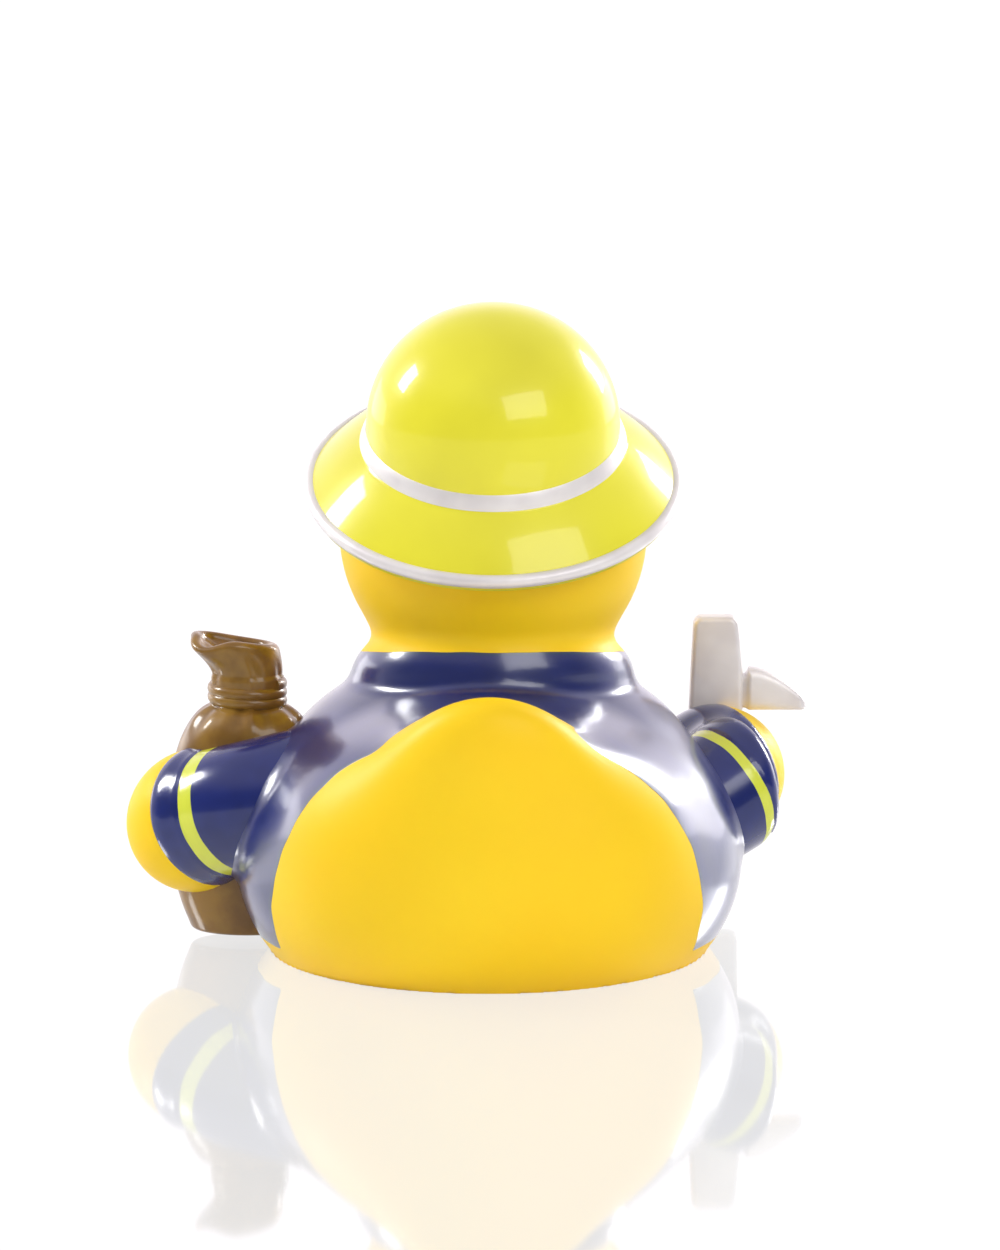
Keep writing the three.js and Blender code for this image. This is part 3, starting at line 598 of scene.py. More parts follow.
def soft_pvc_look(tree, bsdf):
    """Slush-moulded PVC: a little translucent, with low specular and a slowly clouded yellow; its satin
    roughness and faint orange-peel skin are added where it is used.
    """
    bsdf.inputs["IOR"].default_value = 1.5
    bsdf.inputs["Specular IOR Level"].default_value = BARE_SPECULAR
    bsdf.inputs["Subsurface Weight"].default_value = 0.1
    bsdf.inputs["Subsurface Radius"].default_value = (0.0022, 0.0013, 0.0004)
    bsdf.inputs["Subsurface Scale"].default_value = 1.0
    cloud = noise(tree, 24, 1.0)
    return mix_colour(tree, ramp(tree, cloud, 0.3, 0.8), linear(YELLOW), linear(YELLOW_DEEP)), cloud


def yellow_pvc():
    # Bare soft PVC, slush-moulded: an even egg-yellow with a satin, slightly uneven skin
    material, tree, bsdf = new_material("yellow_soft_pvc_satin")
    colour, cloud = soft_pvc_look(tree, bsdf)
    tree.links.new(colour, bsdf.inputs["Base Color"])
    tree.links.new(ramp(tree, cloud, 0.3, 0.7, 0.42, 0.48), bsdf.inputs["Roughness"])
    skin = bump(tree, noise(tree, 0.9, 3.0), 0.006)
    tree.links.new(bump(tree, noise(tree, 12, 1.0, 3.0), 0.06, skin), bsdf.inputs["Normal"])
    return material


def gloss_paint_layer(bsdf, roughness=0.12):
    bsdf.inputs["IOR"].default_value = 1.5
    bsdf.inputs["Coat Weight"].default_value = 1.0
    bsdf.inputs["Coat Roughness"].default_value = roughness
    bsdf.inputs["Coat IOR"].default_value = 1.5


def wobbled(tree, value, feature_mm, depth_mm, seed):
    """A distance with a slow hand-masked waver of this depth."""
    waver = ramp(tree, noise(tree, feature_mm, 1.0, seed), 0.25, 0.75, -depth_mm, depth_mm)
    return add_node(tree, "ShaderNodeMath", {0: value, 1: waver}, operation="ADD").outputs[0]


def moulding_paint():
    # Yellow PVC with a sprayed satin navy jacket: the paint mask gives a crisp edge with a thin dark line
    material, tree, bsdf = new_material("yellow_pvc_with_navy_satin_jacket")
    bare, cloud = soft_pvc_look(tree, bsdf)
    edge = wobbled(tree, attribute_value(tree, "jacket_mm"), 9, 0.12, 5.0)
    painted = ramp(tree, edge, -0.05, 0.05)
    line = ramp(tree, edge, 0.1, 0.55, 1.0, 0.0)
    blotch = ramp(tree, noise(tree, 8, 2.0, 9.0), 0.3, 0.75)
    navy = mix_colour(tree, blotch, linear(NAVY), linear(NAVY_WARM))
    navy = mix_colour(tree, line, navy, linear(EDGE_BLUE))
    tree.links.new(mix_colour(tree, painted, bare, navy), bsdf.inputs["Base Color"])
    satin = ramp(tree, cloud, 0.3, 0.7, 0.42, 0.48)
    tree.links.new(mix_value(tree, painted, satin, 0.3), bsdf.inputs["Roughness"])
    tree.links.new(mix_value(tree, painted, BARE_SPECULAR, 0.5), bsdf.inputs["Specular IOR Level"])
    tree.links.new(painted, bsdf.inputs["Coat Weight"])
    bsdf.inputs["Coat Roughness"].default_value = 0.16
    skin = bump(tree, noise(tree, 0.9, 3.0), 0.006)
    paint_step = bump(tree, painted, 0.05, skin)
    tree.links.new(bump(tree, noise(tree, 12, 1.0, 3.0), 0.06, paint_step), bsdf.inputs["Normal"])
    return material


def navy_paint(name, stripe_width, bare=False):
    # Glossy navy paint with a lime stripe, masked off by its distance before the hem; bare PVC past the cuff
    material, tree, bsdf = new_material(name)
    gloss_paint_layer(bsdf)
    bsdf.inputs["Coat Weight"].default_value = 0.5
    blotch = ramp(tree, noise(tree, 6, 2.0, 9.0), 0.35, 0.7)
    colour = mix_colour(tree, blotch, linear(NAVY), linear(NAVY_WARM))
    place = wobbled(tree, attribute_value(tree, "before_hem_mm"), 5, 0.1, 4.0)
    started = ramp(tree, place, 0.2, 0.3)
    ended = ramp(tree, place, stripe_width + 0.2, stripe_width + 0.3, 1.0, 0.0)
    inside = add_node(tree, "ShaderNodeMath", {0: started, 1: ended}, operation="MULTIPLY").outputs[0]
    colour = mix_colour(tree, inside, colour, linear(LIME))
    bsdf.inputs["Roughness"].default_value = 0.2
    if bare:
        skin_shown = ramp(tree, wobbled(tree, attribute_value(tree, "bare_mm"), 6, 0.1, 8.0), -0.05, 0.05)
        colour = mix_colour(tree, skin_shown, colour, linear(YELLOW))
        tree.links.new(mix_value(tree, skin_shown, 0.2, 0.45), bsdf.inputs["Roughness"])
        tree.links.new(mix_value(tree, skin_shown, 0.5, 0.0), bsdf.inputs["Coat Weight"])
    tree.links.new(colour, bsdf.inputs["Base Color"])
    skin = bump(tree, noise(tree, 1.2, 3.0), 0.008)
    tree.links.new(bump(tree, noise(tree, 10, 1.0, 3.0), 0.08, skin), bsdf.inputs["Normal"])
    return material


def lime_enamel():
    # Sprayed lime-yellow enamel on the helmet: clear bright gloss with slow ripples
    material, tree, bsdf = new_material("lime_gloss_enamel")
    gloss_paint_layer(bsdf, 0.07)
    bsdf.inputs["Coat Weight"].default_value = 0.6
    bsdf.inputs["Specular IOR Level"].default_value = 0.25
    bsdf.inputs["Roughness"].default_value = 0.3
    shade = ramp(tree, noise(tree, 16, 2.0), 0.3, 0.75)
    colour = mix_colour(tree, shade, linear(HELMET_LIME), linear(HELMET_LIME_DEEP))
    tree.links.new(colour, bsdf.inputs["Base Color"])
    tree.links.new(bump(tree, noise(tree, 12, 1.0), 0.06), bsdf.inputs["Normal"])
    return material


def silver_paint():
    # Fine aluminium paint: light, smooth and only half metallic, with a soft broad sheen
    material, tree, bsdf = new_material("fine_silver_paint")
    cloud = ramp(tree, noise(tree, 5, 2.0), 0.3, 0.7)
    tree.links.new(mix_colour(tree, cloud, linear("#e2dcdd"), linear("#ede8e8")), bsdf.inputs["Base Color"])
    bsdf.inputs["Metallic"].default_value = 0.28
    tree.links.new(ramp(tree, noise(tree, 0.5, 2.0), 0.3, 0.7, 0.4, 0.48), bsdf.inputs["Roughness"])
    tree.links.new(bump(tree, noise(tree, 1.5, 2.0), 0.01), bsdf.inputs["Normal"])
    return material


def brown_paint():
    # Glossy brown paint over the sack, with painted shade in its folds and inside its mouth
    material, tree, bsdf = new_material("brown_gloss_paint")
    gloss_paint_layer(bsdf, 0.12)
    bsdf.inputs["Coat Weight"].default_value = 0.5
    bsdf.inputs["Specular IOR Level"].default_value = 0.3
    bsdf.inputs["Roughness"].default_value = 0.35
    streak = ramp(tree, noise(tree, 5, 3.0), 0.3, 0.7)
    # Painted shade: darker brown in the hollows between pleats and fully dark inside the mouth
    shade_in_folds = attribute_value(tree, "painted_fold_shade")
    base = mix_colour(tree, streak, linear("#79551d"), linear("#95702b"))
    tree.links.new(mix_colour(tree, shade_in_folds, base, linear("#66481c")), bsdf.inputs["Base Color"])
    skin = bump(tree, noise(tree, 1.0, 3.0), 0.012)
    tree.links.new(bump(tree, noise(tree, 6, 2.0, 3.0), 0.14, skin), bsdf.inputs["Normal"])
    return material


def orange_paint():
    # Satin orange paint on the beak
    material, tree, bsdf = new_material("orange_satin_paint")
    colour = mix_colour(tree, ramp(tree, noise(tree, 7, 2.0), 0.3, 0.7), linear(ORANGE), linear("#e5650f"))
    tree.links.new(colour, bsdf.inputs["Base Color"])
    bsdf.inputs["Roughness"].default_value = 0.32
    tree.links.new(bump(tree, noise(tree, 1.0, 3.0), 0.012), bsdf.inputs["Normal"])
    return material


def black_paint():
    # Gloss black pad-printed eyes
    material, tree, bsdf = new_material("black_gloss_print")
    gloss_paint_layer(bsdf, 0.05)
    colour = mix_colour(tree, noise(tree, 2, 2.0), linear("#0c0c0e"), linear("#1a1a1e"))
    tree.links.new(colour, bsdf.inputs["Base Color"])
    return material


# Pieces

def jacket_reach(p):
    """How far a point of the moulding lies inside the painted jacket, in millimetres."""
    x, y, z = p.T
    heights, widths = np.array(RUMP_EDGE, float).T
    # Smooth curve through the named edge points
    fine = np.linspace(heights[0], heights[-1], 400)
    coarse = np.interp(fine, heights, widths)
    window = np.hanning(41)
    padded = np.pad(coarse, 20, mode="reflect", reflect_type="odd")
    edge = np.convolve(padded, window / window.sum(), mode="valid")
    half_width = np.interp(z, fine, edge)
    slope = np.interp(z, fine, np.gradient(edge, fine))
    beside = (np.abs(x - RUMP_SIDE_SHIFT) - half_width) / np.sqrt(1 + slope ** 2)
    ahead = y - np.interp(z, (15, 32), (RUMP_FRONT_LOW, RUMP_FRONT_HIGH))
    off_rump = np.maximum(beside, ahead)
    below_neck = NECKLINE - above_collar(p)
    above_hem = z - HEM_HEIGHT
    return np.minimum(np.minimum(off_rump, below_neck), above_hem)


def moulding():
    reach = 48 + 2 * FINE_STEP
    low = (-reach, -40, -2.5 * FINE_STEP)
    high = (reach, 38, HEAD_CENTRE[2] + HEAD_RADIUS + 2)
    points, squares = net_over(moulding_field, low, high, FINE_STEP, floor=0.0)
    base = points[:, 2] < 0.45 * FINE_STEP
    points[~base] = settle(moulding_field, points[~base])
    points[base, 2] = 0
    points[:, 2] = np.maximum(points[:, 2], 0)
    piece = mesh_object("moulding", points, squares, sharp_degrees=50)
    set_attribute(piece, "jacket_mm", jacket_reach(points))
    piece.data.materials.append(moulding_paint())
    return piece


def arc(centre, radius, start, end, steps):
    angles = np.radians(np.linspace(start, end, steps + 1))
    return [(centre[0] + radius * math.cos(a), centre[1] + radius * math.sin(a)) for a in angles]


def profile_mesh(name, points, closed=False):
    """A profile of (radius, height) pairs as mesh edges, drawn outward and downward."""
    mesh = bpy.data.meshes.new(name)
    edges = [(i, i + 1) for i in range(len(points) - 1)]
    if closed:
        edges.append((len(points) - 1, 0))
    mesh.from_pydata([(r * MM, -h * MM, 0) for r, h in points], edges, [])
    return mesh


def helmet(turner):
    band = DOME_RADIUS + BAND_STEP
    rim = BRIM_RADIUS - BEAD_RADIUS
    inner_height = -BRIM_DROP + BRIM_THICKNESS
    inner = math.sqrt(HEAD_RADIUS ** 2 - (HELMET_LIFT + inner_height) ** 2) - 1
    power = 2 / DOME_SQUARENESS
    dome = [(max(r, 0) ** power * DOME_RADIUS, h ** power * DOME_RISE) for r, h in arc((0, 0), 1, 90, 1, 56)]
    sag = 0.35
    brim = []
    for t in np.linspace(0, 1, 17)[1:]:
        r = band + t * (rim - band)
        h = -BAND_HEIGHT + t * (BAND_HEIGHT - BRIM_DROP + BEAD_RADIUS * 0.6) + sag * math.sin(math.pi * t)
        brim.append((r, h))
    profile = dome + [(DOME_RADIUS, -0.1), (band, -BAND_HEIGHT)] + brim + [
        (rim + 0.3, -BRIM_DROP - 0.4),
        (rim + 0.2, -BRIM_DROP - BRIM_THICKNESS + 0.2),
        (rim - 0.2, -BRIM_DROP - BRIM_THICKNESS),
        (rim - 1.2, -BRIM_DROP - BRIM_THICKNESS + 0.1),
        (inner + 1.5, inner_height - 0.4),
        (inner, inner_height),
        (0, inner_height),
    ]
    start = profile_mesh("helmet_profile", profile)
    return grown_from(turner, "helmet", lime_enamel(), helmet_place(), start, Around=192, Axis_Gap=1e-6)


def helmet_rings(turner, ringer, silver):
    top = DOME_RADIUS + BAND_RAISE
    foot = top + BAND_STEP
    ribbon = [(DOME_RADIUS - 0.6, 0.1), (top - 0.15, 0.12), (top, 0), (foot, -BAND_HEIGHT + 0.1),
              (foot + 0.05, -BAND_HEIGHT - 0.1), (DOME_RADIUS - 0.6, -BAND_HEIGHT - 0.1)]
    band = grown_from(turner, "helmet_band", silver, helmet_place(),
                      profile_mesh("band_profile", ribbon, closed=True), Around=192, Axis_Gap=1e-6)
    sharpen(band, 35)
    bead = grown_from(ringer, "helmet_rim_bead", silver,
                      helmet_place() @ Matrix.Translation((0, 0, -BRIM_DROP * MM)),
                      Radius=(BRIM_RADIUS - BEAD_RADIUS) * MM, Width=2 * BEAD_RADIUS * MM,
                      Height=2 * BEAD_RADIUS * MM, Corner=BEAD_RADIUS * MM, Around=192)
    return [band, bead]


def arm_stations(arm, count=200):
    """Points, directions and distances along an arm."""
    t = np.linspace(0, 1, count)
    centre = np.array([bend_point(arm, s) for s in t])
    along = np.gradient(centre, t, axis=0)
    along /= np.linalg.norm(along, axis=1)[:, None]
    gone = np.concatenate([[0], np.cumsum(np.linalg.norm(np.diff(centre, axis=0), axis=1))])
    return centre, along, gone


def along_arm(distance, gone, line):
    return np.array([np.interp(distance, gone, line[:, k]) for k in range(3)])


def sleeve(name, arm, stripe_width):
    """A flared sleeve with a raised hem just beyond its stripe, lofted along the arm."""
    centre, along, gone = arm_stations(arm)
    cuff = gone[-1] - CUFF_SHORT_OF_HAND
    hem = cuff - CUFF_LENGTH
    distances = np.concatenate([
        np.linspace(0.2, hem - 1, 34), hem + HEM_EDGE * np.array([-3, -1, 1, 3]),
        np.linspace(hem + 0.8, cuff - 1.2, 8)])
    lip = [(cuff - CUFF_LIP * (1 - math.sin(a)), -CUFF_LIP * (1 - math.cos(a)))
           for a in np.linspace(0, math.pi / 2, 8)]
    rings = []
    angles = np.linspace(0, 2 * math.pi, 112, endpoint=False)

    def add_ring(distance, radius):
        at = along_arm(distance, gone, centre)
        way = along_arm(distance, gone, along)
        way /= np.linalg.norm(way)
        side = np.cross((0, 0, 1), way)
        side /= np.linalg.norm(side)
        up = np.cross(way, side)
        rings.append(at + radius * (np.cos(angles)[:, None] * side + np.sin(angles)[:, None] * up))

    for distance in distances:
        upper = SLEEVE_ROOT + (SLEEVE_STRIPE - SLEEVE_ROOT) * min(distance / hem, 1)
        flare = smoothstep(distance, hem, cuff - CUFF_LIP) * (SLEEVE_CUFF - SLEEVE_STRIPE - HEM_RAISE)
        add_ring(distance, upper + flare + HEM_RAISE * float(distance > hem))
    for distance, inset in lip:
        add_ring(distance, SLEEVE_CUFF + inset)
    piece = loft(name, rings, centre[0], rings[-1].mean(0), sharp_degrees=60)
    # The stripe is masked square to the sleeve at its hem, so it keeps its width round the bend
    hem_way = along_arm(hem, gone, along)
    corners = np.array([v.co for v in piece.data.vertices]) / MM - along_arm(hem, gone, centre)
    set_attribute(piece, "before_hem_mm", -corners @ (hem_way / np.linalg.norm(hem_way)))
    piece.data.materials.append(navy_paint(name + "_navy_and_lime_gloss", stripe_width))
    return piece


def hand(name, arm, yellow):
    """A mitten-like wing tip: a ball with a heel that hangs outwards and down."""
    centre = np.array(arm[2], float)
    heel_centre = centre + (math.copysign(HEEL_OUTREACH, centre[0]), 0, -HEEL_DROP)

    def field(p):
        ball = np.linalg.norm(p - centre, axis=-1) - HAND_RADIUS
        heel = np.linalg.norm(p - heel_centre, axis=-1) - HEEL_RADIUS
        return blend(ball, heel, HEEL_BLEND)

    reach = HAND_RADIUS + 4
    points, squares = net_over(field, centre - reach, centre + reach, HAND_STEP)
    piece = mesh_object(name, settle(field, points), squares)
    piece.data.materials.append(yellow)
    return piece


def right_arm():
    """Sleeve and hand in one soft form, told apart by their paint."""
    ends = np.array([RIGHT_STRIPE_MIDDLE, RIGHT_CUFF, RIGHT_HAND, right_arm_root()], float)
    reach = HAND_RADIUS + 2
    points, squares = net_over(right_arm_field, ends.min(0) - reach, ends.max(0) + reach, ARM_STEP)
    points = settle(right_arm_field, points)
    piece = mesh_object("right_arm", points, squares)
    set_attribute(piece, "before_hem_mm", -right_arm_past_hem(points))
    set_attribute(piece, "bare_mm", right_arm_bare(points))
    piece.data.materials.append(navy_paint("right_arm_navy_lime_and_yellow", RIGHT_STRIPE_WIDTH, bare=True))
    return piece


def sack(brown):
    """Full below, gathered by the tie, with a soft, twisted mouth that rolls over at its edge."""
    centre = np.array(SACK_CENTRE, float)
    shoulder = SACK_LOW + SACK_BODY
    neck_top = shoulder + SACK_NECK
    mouth = neck_top + SACK_MOUTH
    angles = np.linspace(0, 2 * math.pi, 160, endpoint=False)
    depth_share = SACK_HALF[1] / SACK_HALF[0]
    rings, fold_shade_levels = [], []

    def add_ring(height, radius, pleat=0.0, dip=0.0, flap=0.0):
        pleats = 0.6 * np.cos(9 * angles + 0.5) + 0.4 * np.cos(14 * angles + 2.0)
        # Two soft lobes turn the mouth oval, and a twist near the left end pinches it
        twist = 0.5 * np.exp(-((angles - 2.5) / 0.4) ** 2) - 0.4 * np.exp(-((angles - 3.15) / 0.3) ** 2)
        notch = np.exp(-((angles - 3.9) / 0.6) ** 2)
        around = radius + pleat * pleats + flap * (0.5 * np.cos(2 * angles - 0.3) + twist)
        near_neck = smoothstep(height, shoulder - SACK_SHOULDER_DROP, shoulder)
        roundness = depth_share + (1 - depth_share) * near_neck
        lean = SACK_MOUTH_LEAN * smoothstep(height, neck_top, mouth)
        rings.append(np.stack([
            centre[0] - lean + around * np.cos(angles),
            centre[1] + around * roundness * np.sin(angles),
            height - dip * np.cos(angles - 0.5) - 1.5 * flap * flap * notch], -1))
        # Painted shade, strongest in the hollows between pleats
        fold_shade_levels.append(np.clip(-pleats * pleat * 1.6, 0, 1))

    # Body: a rounded foot, a swelling side and a shoulder gathered under the tie
    for a in np.radians(np.linspace(-90, -20, 8)):
        add_ring(SACK_LOW + SACK_FOOT_ROUND * (1 + math.sin(a)), SACK_FOOT - 1.1 + math.cos(a))
    belly = SACK_HALF[0] + SACK_BELLY
    curve = np.array([(SACK_FOOT, SACK_LOW + 1.1), (belly, SACK_LOW + SACK_SHOULDER_DROP),
                      (belly, shoulder - SACK_SHOULDER_DROP / 3), (SACK_NECK_RADIUS, shoulder - 0.5)])
    for t in np.linspace(0, 1, 60)[1:]:
        radius, height = np.array(((1 - t) ** 3, 3 * t * (1 - t) ** 2, 3 * t * t * (1 - t), t ** 3)) @ curve
        add_ring(height, radius, 0.32 * smoothstep(height, shoulder - 5, shoulder - 0.8))
    for height in np.linspace(shoulder - 0.2, neck_top, 12):
        add_ring(height, SACK_NECK_RADIUS - 0.1, 0.1)
    # Mouth: swells above the tie, then its edge rolls over and back down inside
    for t in np.linspace(0.08, 1, 16):
        swell = SACK_NECK_RADIUS - 0.35 + (SACK_MOUTH_RADIUS - SACK_NECK_RADIUS + 0.5) * smoothstep(t, 0, 1)
        add_ring(neck_top + t * (SACK_MOUTH - SACK_LIP_DROP), swell, 0.15 * (1 - t), SACK_LIP_DROP * t, t)
    lip = mouth - SACK_LIP_DROP
    for a in np.radians(np.linspace(10, 180, 14)):
        add_ring(lip + SACK_LIP_ROLL * math.sin(a),
                 SACK_MOUTH_RADIUS - 0.65 + SACK_LIP_ROLL * math.cos(a), 0, SACK_LIP_DROP, 1)
    for t in np.linspace(0.15, 1, 8):
        inner = (SACK_MOUTH_RADIUS - 1.45) * (1 - 0.75 * t)
        add_ring(lip - 2.4 * t, inner, 0, SACK_LIP_DROP * (1 - t), 1 - t)
    foot = (*centre, SACK_LOW)
    inside = (centre[0] - SACK_MOUTH_LEAN, centre[1], mouth - 4)
    piece = loft("sack", rings, foot, inside, sharp_degrees=None)
    # The inside pole takes full painted shade, so the mouth's inside is painted dark
    set_attribute(piece, "painted_fold_shade", np.concatenate([[0], np.concatenate(fold_shade_levels), [1]]))
    piece.data.materials.append(brown)
    return piece


def sack_tie(winder, brown):
    place = Matrix.Translation((SACK_CENTRE[0] * MM, SACK_CENTRE[1] * MM, (SACK_LOW + SACK_BODY) * MM))
    return grown_from(winder, "sack_tie", brown, place, Turns=TIE_TURNS,
                      Radius=(SACK_NECK_RADIUS - 0.55) * MM, Rise=(SACK_NECK - 0.9) * MM,
                      Cord_Radius=TIE_CORD_RADIUS * MM, Steps=46)


def extruded_upright(name, outline, thickness, bevel, silver):
    """An outline in X and Z, extruded along Y about the tool's middle, with rounded edges."""
    made = bmesh.new()
    back = TOOL_CENTRE[1] - thickness / 2
    corners = [made.verts.new((x * MM, back * MM, z * MM)) for x, z in outline]
    face = made.faces.new(corners)
    pulled = bmesh.ops.extrude_face_region(made, geom=[face])
    moved = [v for v in pulled["geom"] if isinstance(v, bmesh.types.BMVert)]
    bmesh.ops.translate(made, verts=moved, vec=(0, thickness * MM, 0))
    bmesh.ops.recalc_face_normals(made, faces=made.faces)
    mesh = bpy.data.meshes.new(name)
    made.to_mesh(mesh)
    made.free()
    piece = bpy.data.objects.new(name, mesh)
    bpy.context.scene.collection.objects.link(piece)
    rounding = piece.modifiers.new("rounding", "BEVEL")
    rounding.width = bevel * MM
    rounding.segments = 5
    rounding.limit_method = "ANGLE"
    rounding.angle_limit = math.radians(40)
    graph = bpy.context.evaluated_depsgraph_get()
    rounded = bpy.data.meshes.new_from_object(piece.evaluated_get(graph))
    piece.modifiers.remove(rounding)
    piece.data = rounded
    rounded.name = name
    rounded.shade_smooth()
    rounded.set_sharp_from_angle(angle=math.radians(50))
    rounded.materials.clear()
    rounded.materials.append(silver)
    return piece


def tool_bar(silver):
    x0 = TOOL_CENTRE[0]
    half = TOOL_WIDTH / 2
    wide = half + TOOL_FLARE / 2
    corner = TOOL_CORNER
    outline = arc((half - corner, TOOL_TOP - corner), corner, 0, 90, 8)
    outline += arc((-half + corner, TOOL_TOP - corner), corner, 90, 180, 8)
    outline += [(-wide, PICK_UNDERSIDE)]
    outline += arc((-half + corner, TOOL_FOOT + corner), corner, 180, 270, 6)
    outline += arc((half - corner, TOOL_FOOT + corner), corner, 270, 360, 6)
    outline += [(wide, PICK_UNDERSIDE), (wide, PICK_UNDERSIDE + PICK_HEIGHT)]
    return extruded_upright("tool_bar", [(x0 + x, z) for x, z in outline], TOOL_THICKNESS, TOOL_BEVEL, silver)


def tool_pick(silver):
    """The pick: rounded sections that shrink along a curved back to a blunt tip."""
    x0 = TOOL_CENTRE[0] + TOOL_WIDTH / 2 + TOOL_FLARE / 2
    top = PICK_UNDERSIDE + PICK_HEIGHT
    angles = np.linspace(0, 2 * math.pi, 48, endpoint=False)
    rings = []

    def add_ring(x, low, high, thickness, power=0.55):
        c, s = np.cos(angles), np.sin(angles)
        y = np.sign(c) * np.abs(c) ** power * thickness / 2
        z = (low + high) / 2 + np.sign(s) * np.abs(s) ** power * (high - low) / 2
        rings.append(np.stack([np.full_like(y, x), TOOL_CENTRE[1] + y, z], -1))

    for x in (-1.2, -0.2, 0.35):
        add_ring(x0 + x, PICK_UNDERSIDE + 0.3, top - 0.9, TOOL_THICKNESS - 1.0)
    add_ring(x0 + 0.7, PICK_UNDERSIDE + 0.1, top - 0.35, TOOL_THICKNESS - 0.4)
    length = PICK_LENGTH - PICK_NECK
    for t in np.linspace(0, 1, 22):
        back = top - (PICK_HEIGHT - 1.3) * t ** 1.75
        nose = math.sqrt(max(1 - max((t - 0.9) / 0.1, 0) ** 2, 0.02))
        low = PICK_UNDERSIDE + 0.65 * (1 - nose)
        add_ring(x0 + PICK_NECK + length * t, low, low + (back - PICK_UNDERSIDE) * nose,
                 (TOOL_THICKNESS - 1.6 * t) * nose, 0.6)
    first, last = rings[0].mean(0), rings[-1].mean(0)
    piece = loft("tool_pick", rings, first, last, sharp_degrees=55)
    piece.data.materials.append(silver)
    return piece


def ball_points(columns, rows):
    """A unit ball's points and faces, with single points at its poles."""
    points, faces = [(0, 0, -1)], []
    for i in range(1, rows):
        polar = math.pi * i / rows
        for j in range(columns):
            angle = 2 * math.pi * j / columns
            out = math.sin(polar)
            points.append((out * math.cos(angle), out * math.sin(angle), -math.cos(polar)))
    points.append((0, 0, 1))
    last = len(points) - 1
    for j in range(columns):
        k = (j + 1) % columns
        faces.append((0, 1 + k, 1 + j))
        faces.append((last, last - columns + j, last - columns + k))
        for i in range(rows - 2):
            low = 1 + i * columns
            faces.append((low + j, low + k, low + columns + k, low + columns + j))
    return np.array(points, float), faces


def beak():
    ball, faces = ball_points(128, 72)
    x, y, z = ball.T
    ahead = np.maximum(y, 0)
    lips = 0.72 + 0.28 * smoothstep(np.abs(z), 0, 0.35)
    start = np.array(HEAD_CENTRE, float) + (0, HEAD_RADIUS - 2.5, -BEAK_DROP)
    points = np.stack([
        start[0] + x * BEAK_HALF_WIDTH * lips,
        start[1] + y * BEAK_LENGTH * np.where(y > 0, lips, 0.35),
        start[2] + z * BEAK_HALF_HEIGHT * (1 - 0.35 * ahead) + BEAK_TIP_LIFT * ahead ** 2], -1)
    piece = mesh_object("beak", points, faces)
    piece.data.materials.append(orange_paint())
    return piece


def eye(name, side, black):
    points, faces = ball_points(48, 28)
    points = points * EYE_HALF + (0, HEAD_RADIUS - EYE_HALF[1] + EYE_RAISE, 0)
    turn = Matrix.Rotation(-side * math.radians(EYE_SPREAD), 3, "Z")
    turn = turn @ Matrix.Rotation(math.radians(EYE_LIFT), 3, "X")
    points = points @ np.array(turn).T + np.array(HEAD_CENTRE, float)
    piece = mesh_object(name, points, faces)
    piece.data.materials.append(black)
    return piece


# Studio

FLOOR_SIZE = 3.0
FLOOR_MIRROR = 0.26
FLOOR_SHADE = 0.04
FLOOR_BLUR = 0.05
SHOT_DISTANCE = 1.2
SHOT_ELEVATION = 10
SHOT_WIDTH_MM = 131.6
SHOT_TARGET_MM = (1.3, 0, 43.1)
# The room in reflections: its tint, and its light behind the photographer, ahead and overhead
ROOM_TINT = (1, 0.93, 1, 1)
ROOM_BEHIND = 0.1
ROOM_AHEAD = 1.3
ROOM_ABOVE = 0.7
ROOM_FILL = 0.62
WHITE = (1, 1, 1, 1)
LAMP_TARGET = (0, 0, 0.045)
# Lamps: name, place and size in metres, watts
LAMPS = (
    ("left_box", (-0.62, 0.18, 0.43), (0.17, 0.22), 3.0),
    ("right_box", (0.54, 0.54, 0.31), (0.18, 0.24), 3.0),
    ("right_low_strip", (0.62, 0.66, 0.1), (0.5, 0.18), 0.55),
    ("left_low_strip", (-0.66, 0.6, 0.1), (0.5, 0.18), 0.5),
    ("front_panel", (0.55, -0.87, 0.65), (0.8, 0.5), 4.4),
)


def camera():
    data = bpy.data.cameras.new("camera")
    data.sensor_fit = "VERTICAL"
    data.sensor_height = 36
    data.lens = data.sensor_height * SHOT_DISTANCE / (SHOT_WIDTH_MM * 1.25 * MM)
    data.clip_start = 0.01
    rig = bpy.data.objects.new("camera", data)
    bpy.context.scene.collection.objects.link(rig)
    target = Vector(SHOT_TARGET_MM) * MM
    lift = math.radians(SHOT_ELEVATION)
    rig.location = target + SHOT_DISTANCE * Vector((0, -math.cos(lift), math.sin(lift)))
    rig.rotation_euler = (target - rig.location).to_track_quat("-Z", "Y").to_euler()
    bpy.context.scene.camera = rig


def soft_box(name, place, size, watts):
    data = bpy.data.lights.new(name, "AREA")
    data.shape = "RECTANGLE"
    data.size, data.size_y = size
    data.energy = watts
    lamp = bpy.data.objects.new(name, data)
    bpy.context.scene.collection.objects.link(lamp)
    lamp.location = place
    lamp.rotation_euler = (Vector(LAMP_TARGET) - Vector(place)).to_track_quat("-Z", "Y").to_euler()


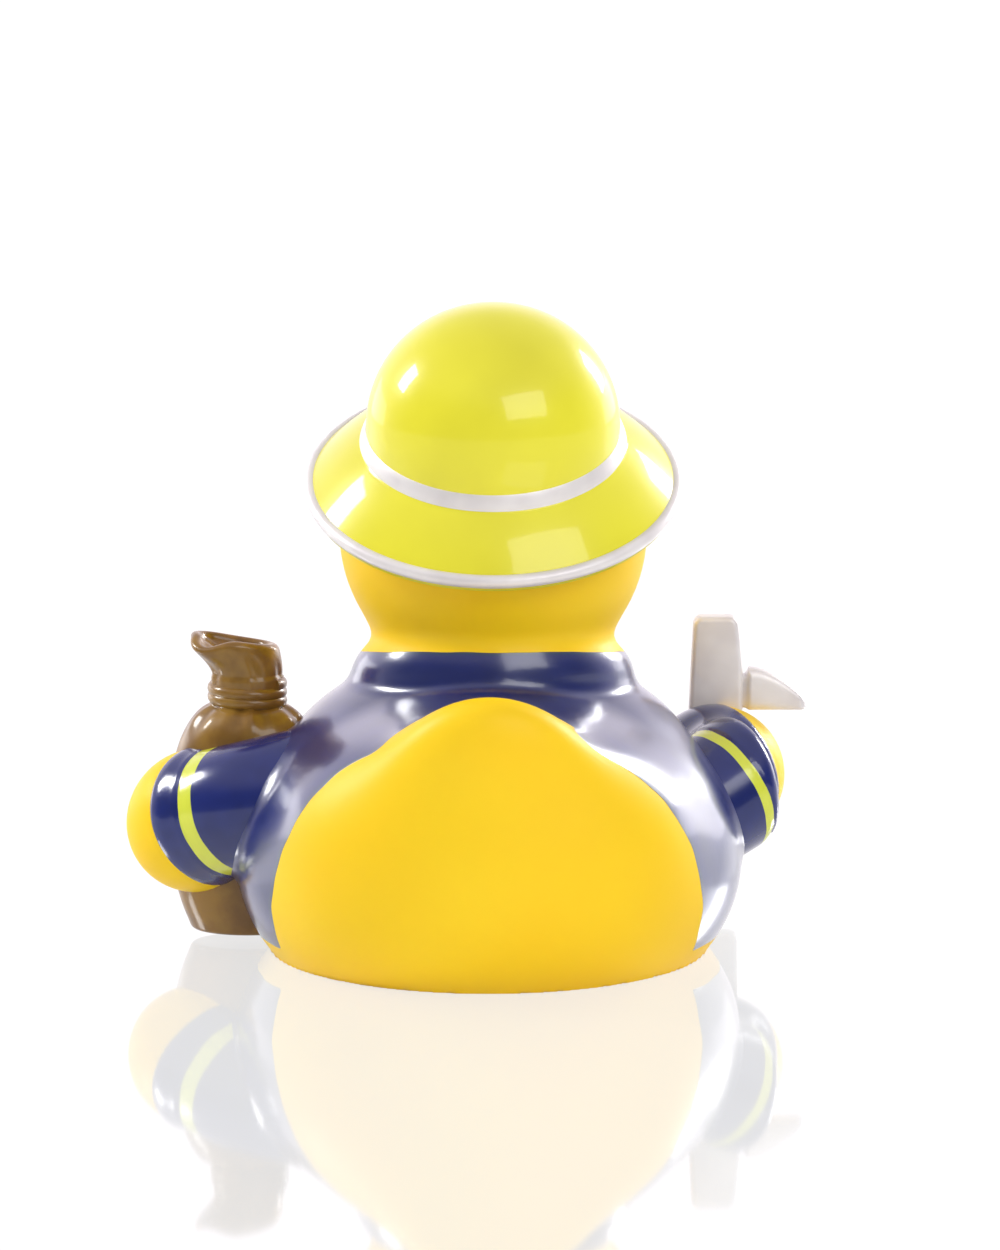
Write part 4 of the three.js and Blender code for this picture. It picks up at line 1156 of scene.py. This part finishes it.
def studio_world():
    """White surround to the eye; a lamp-lit room, darker behind the photographer, in reflections."""
    world = bpy.data.worlds.new("studio")
    world.use_nodes = True
    tree = world.node_tree
    tree.nodes.clear()
    around = add_node(tree, "ShaderNodeTexCoord")
    way = add_node(tree, "ShaderNodeSeparateXYZ", {0: around.outputs["Generated"]})
    ahead = ramp(tree, way.outputs["Y"], -0.2, 0.8, ROOM_BEHIND, ROOM_AHEAD)
    room_light = mix_value(tree, ramp(tree, way.outputs["Z"], 0.35, 0.75), ahead, ROOM_ABOVE)
    path = add_node(tree, "ShaderNodeLightPath")
    room = add_node(tree, "ShaderNodeBackground", {"Color": ROOM_TINT, "Strength": room_light})
    fill = add_node(tree, "ShaderNodeBackground", {"Color": WHITE, "Strength": ROOM_FILL})
    seen = add_node(tree, "ShaderNodeBackground", {"Color": WHITE, "Strength": 1.0})
    bounced = add_node(tree, "ShaderNodeMixShader",
                       {0: path.outputs["Is Glossy Ray"], 1: fill.outputs[0], 2: room.outputs[0]})
    shown = add_node(tree, "ShaderNodeMixShader",
                     {0: path.outputs["Is Camera Ray"], 1: bounced.outputs[0], 2: seen.outputs[0]})
    add_node(tree, "ShaderNodeOutputWorld", {"Surface": shown.outputs[0]})
    bpy.context.scene.world = world


def floor():
    """Polished white table: white to the eye, with the object's shadow and a faint clear reflection."""
    half = FLOOR_SIZE / 2
    mesh = bpy.data.meshes.new("floor")
    height = -0.00002
    corners = [(x * half, y * half, height) for x, y in ((-1, -1), (1, -1), (1, 1), (-1, 1))]
    mesh.from_pydata(corners, [], [(0, 1, 2, 3)])
    table = bpy.data.objects.new("floor", mesh)
    bpy.context.scene.collection.objects.link(table)
    material = bpy.data.materials.new("polished_white_table")
    material.use_nodes = True
    tree = material.node_tree
    tree.nodes.clear()
    path = add_node(tree, "ShaderNodeLightPath")
    rays = {0: path.outputs["Is Camera Ray"], 1: path.outputs["Is Glossy Ray"]}
    seen = add_node(tree, "ShaderNodeMath", rays, operation="MAXIMUM").outputs[0]
    matt = add_node(tree, "ShaderNodeBsdfDiffuse", {"Color": (0.9, 0.9, 0.9, 1)})
    gloss = add_node(tree, "ShaderNodeBsdfGlossy", {"Color": WHITE, "Roughness": FLOOR_BLUR})
    white = add_node(tree, "ShaderNodeEmission", {"Color": WHITE, "Strength": 1.0})
    shaded = add_node(tree, "ShaderNodeMixShader",
                      {0: FLOOR_SHADE / (1 - FLOOR_MIRROR), 1: white.outputs[0], 2: matt.outputs[0]})
    polished = add_node(tree, "ShaderNodeMixShader",
                        {0: FLOOR_MIRROR, 1: shaded.outputs[0], 2: gloss.outputs[0]})
    shown = add_node(tree, "ShaderNodeMixShader", {0: seen, 1: matt.outputs[0], 2: polished.outputs[0]})
    add_node(tree, "ShaderNodeOutputMaterial", {"Surface": shown.outputs[0]})
    mesh.materials.append(material)


def build():
    silver = silver_paint()
    yellow = yellow_pvc()
    brown = brown_paint()
    black = black_paint()
    ringer = ring_tree()
    turner = revolve_tree()
    pieces = [
        moulding(),
        helmet(turner),
        *helmet_rings(turner, ringer, silver),
        sleeve("left_sleeve", LEFT_ARM, LEFT_STRIPE_WIDTH),
        hand("left_hand", LEFT_ARM, yellow),
        right_arm(),
        sack(brown),
        sack_tie(cord_turns_tree(), brown),
        tool_bar(silver),
        tool_pick(silver),
        beak(),
        eye("left_eye", -1, black),
        eye("right_eye", 1, black),
    ]
    for piece in pieces:
        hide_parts("duck")
        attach(piece, "root")


bpy.context.scene.view_settings.view_transform = "Standard"
camera()
studio_world()
floor()
for lamp_row in LAMPS:
    soft_box(*lamp_row)
build()
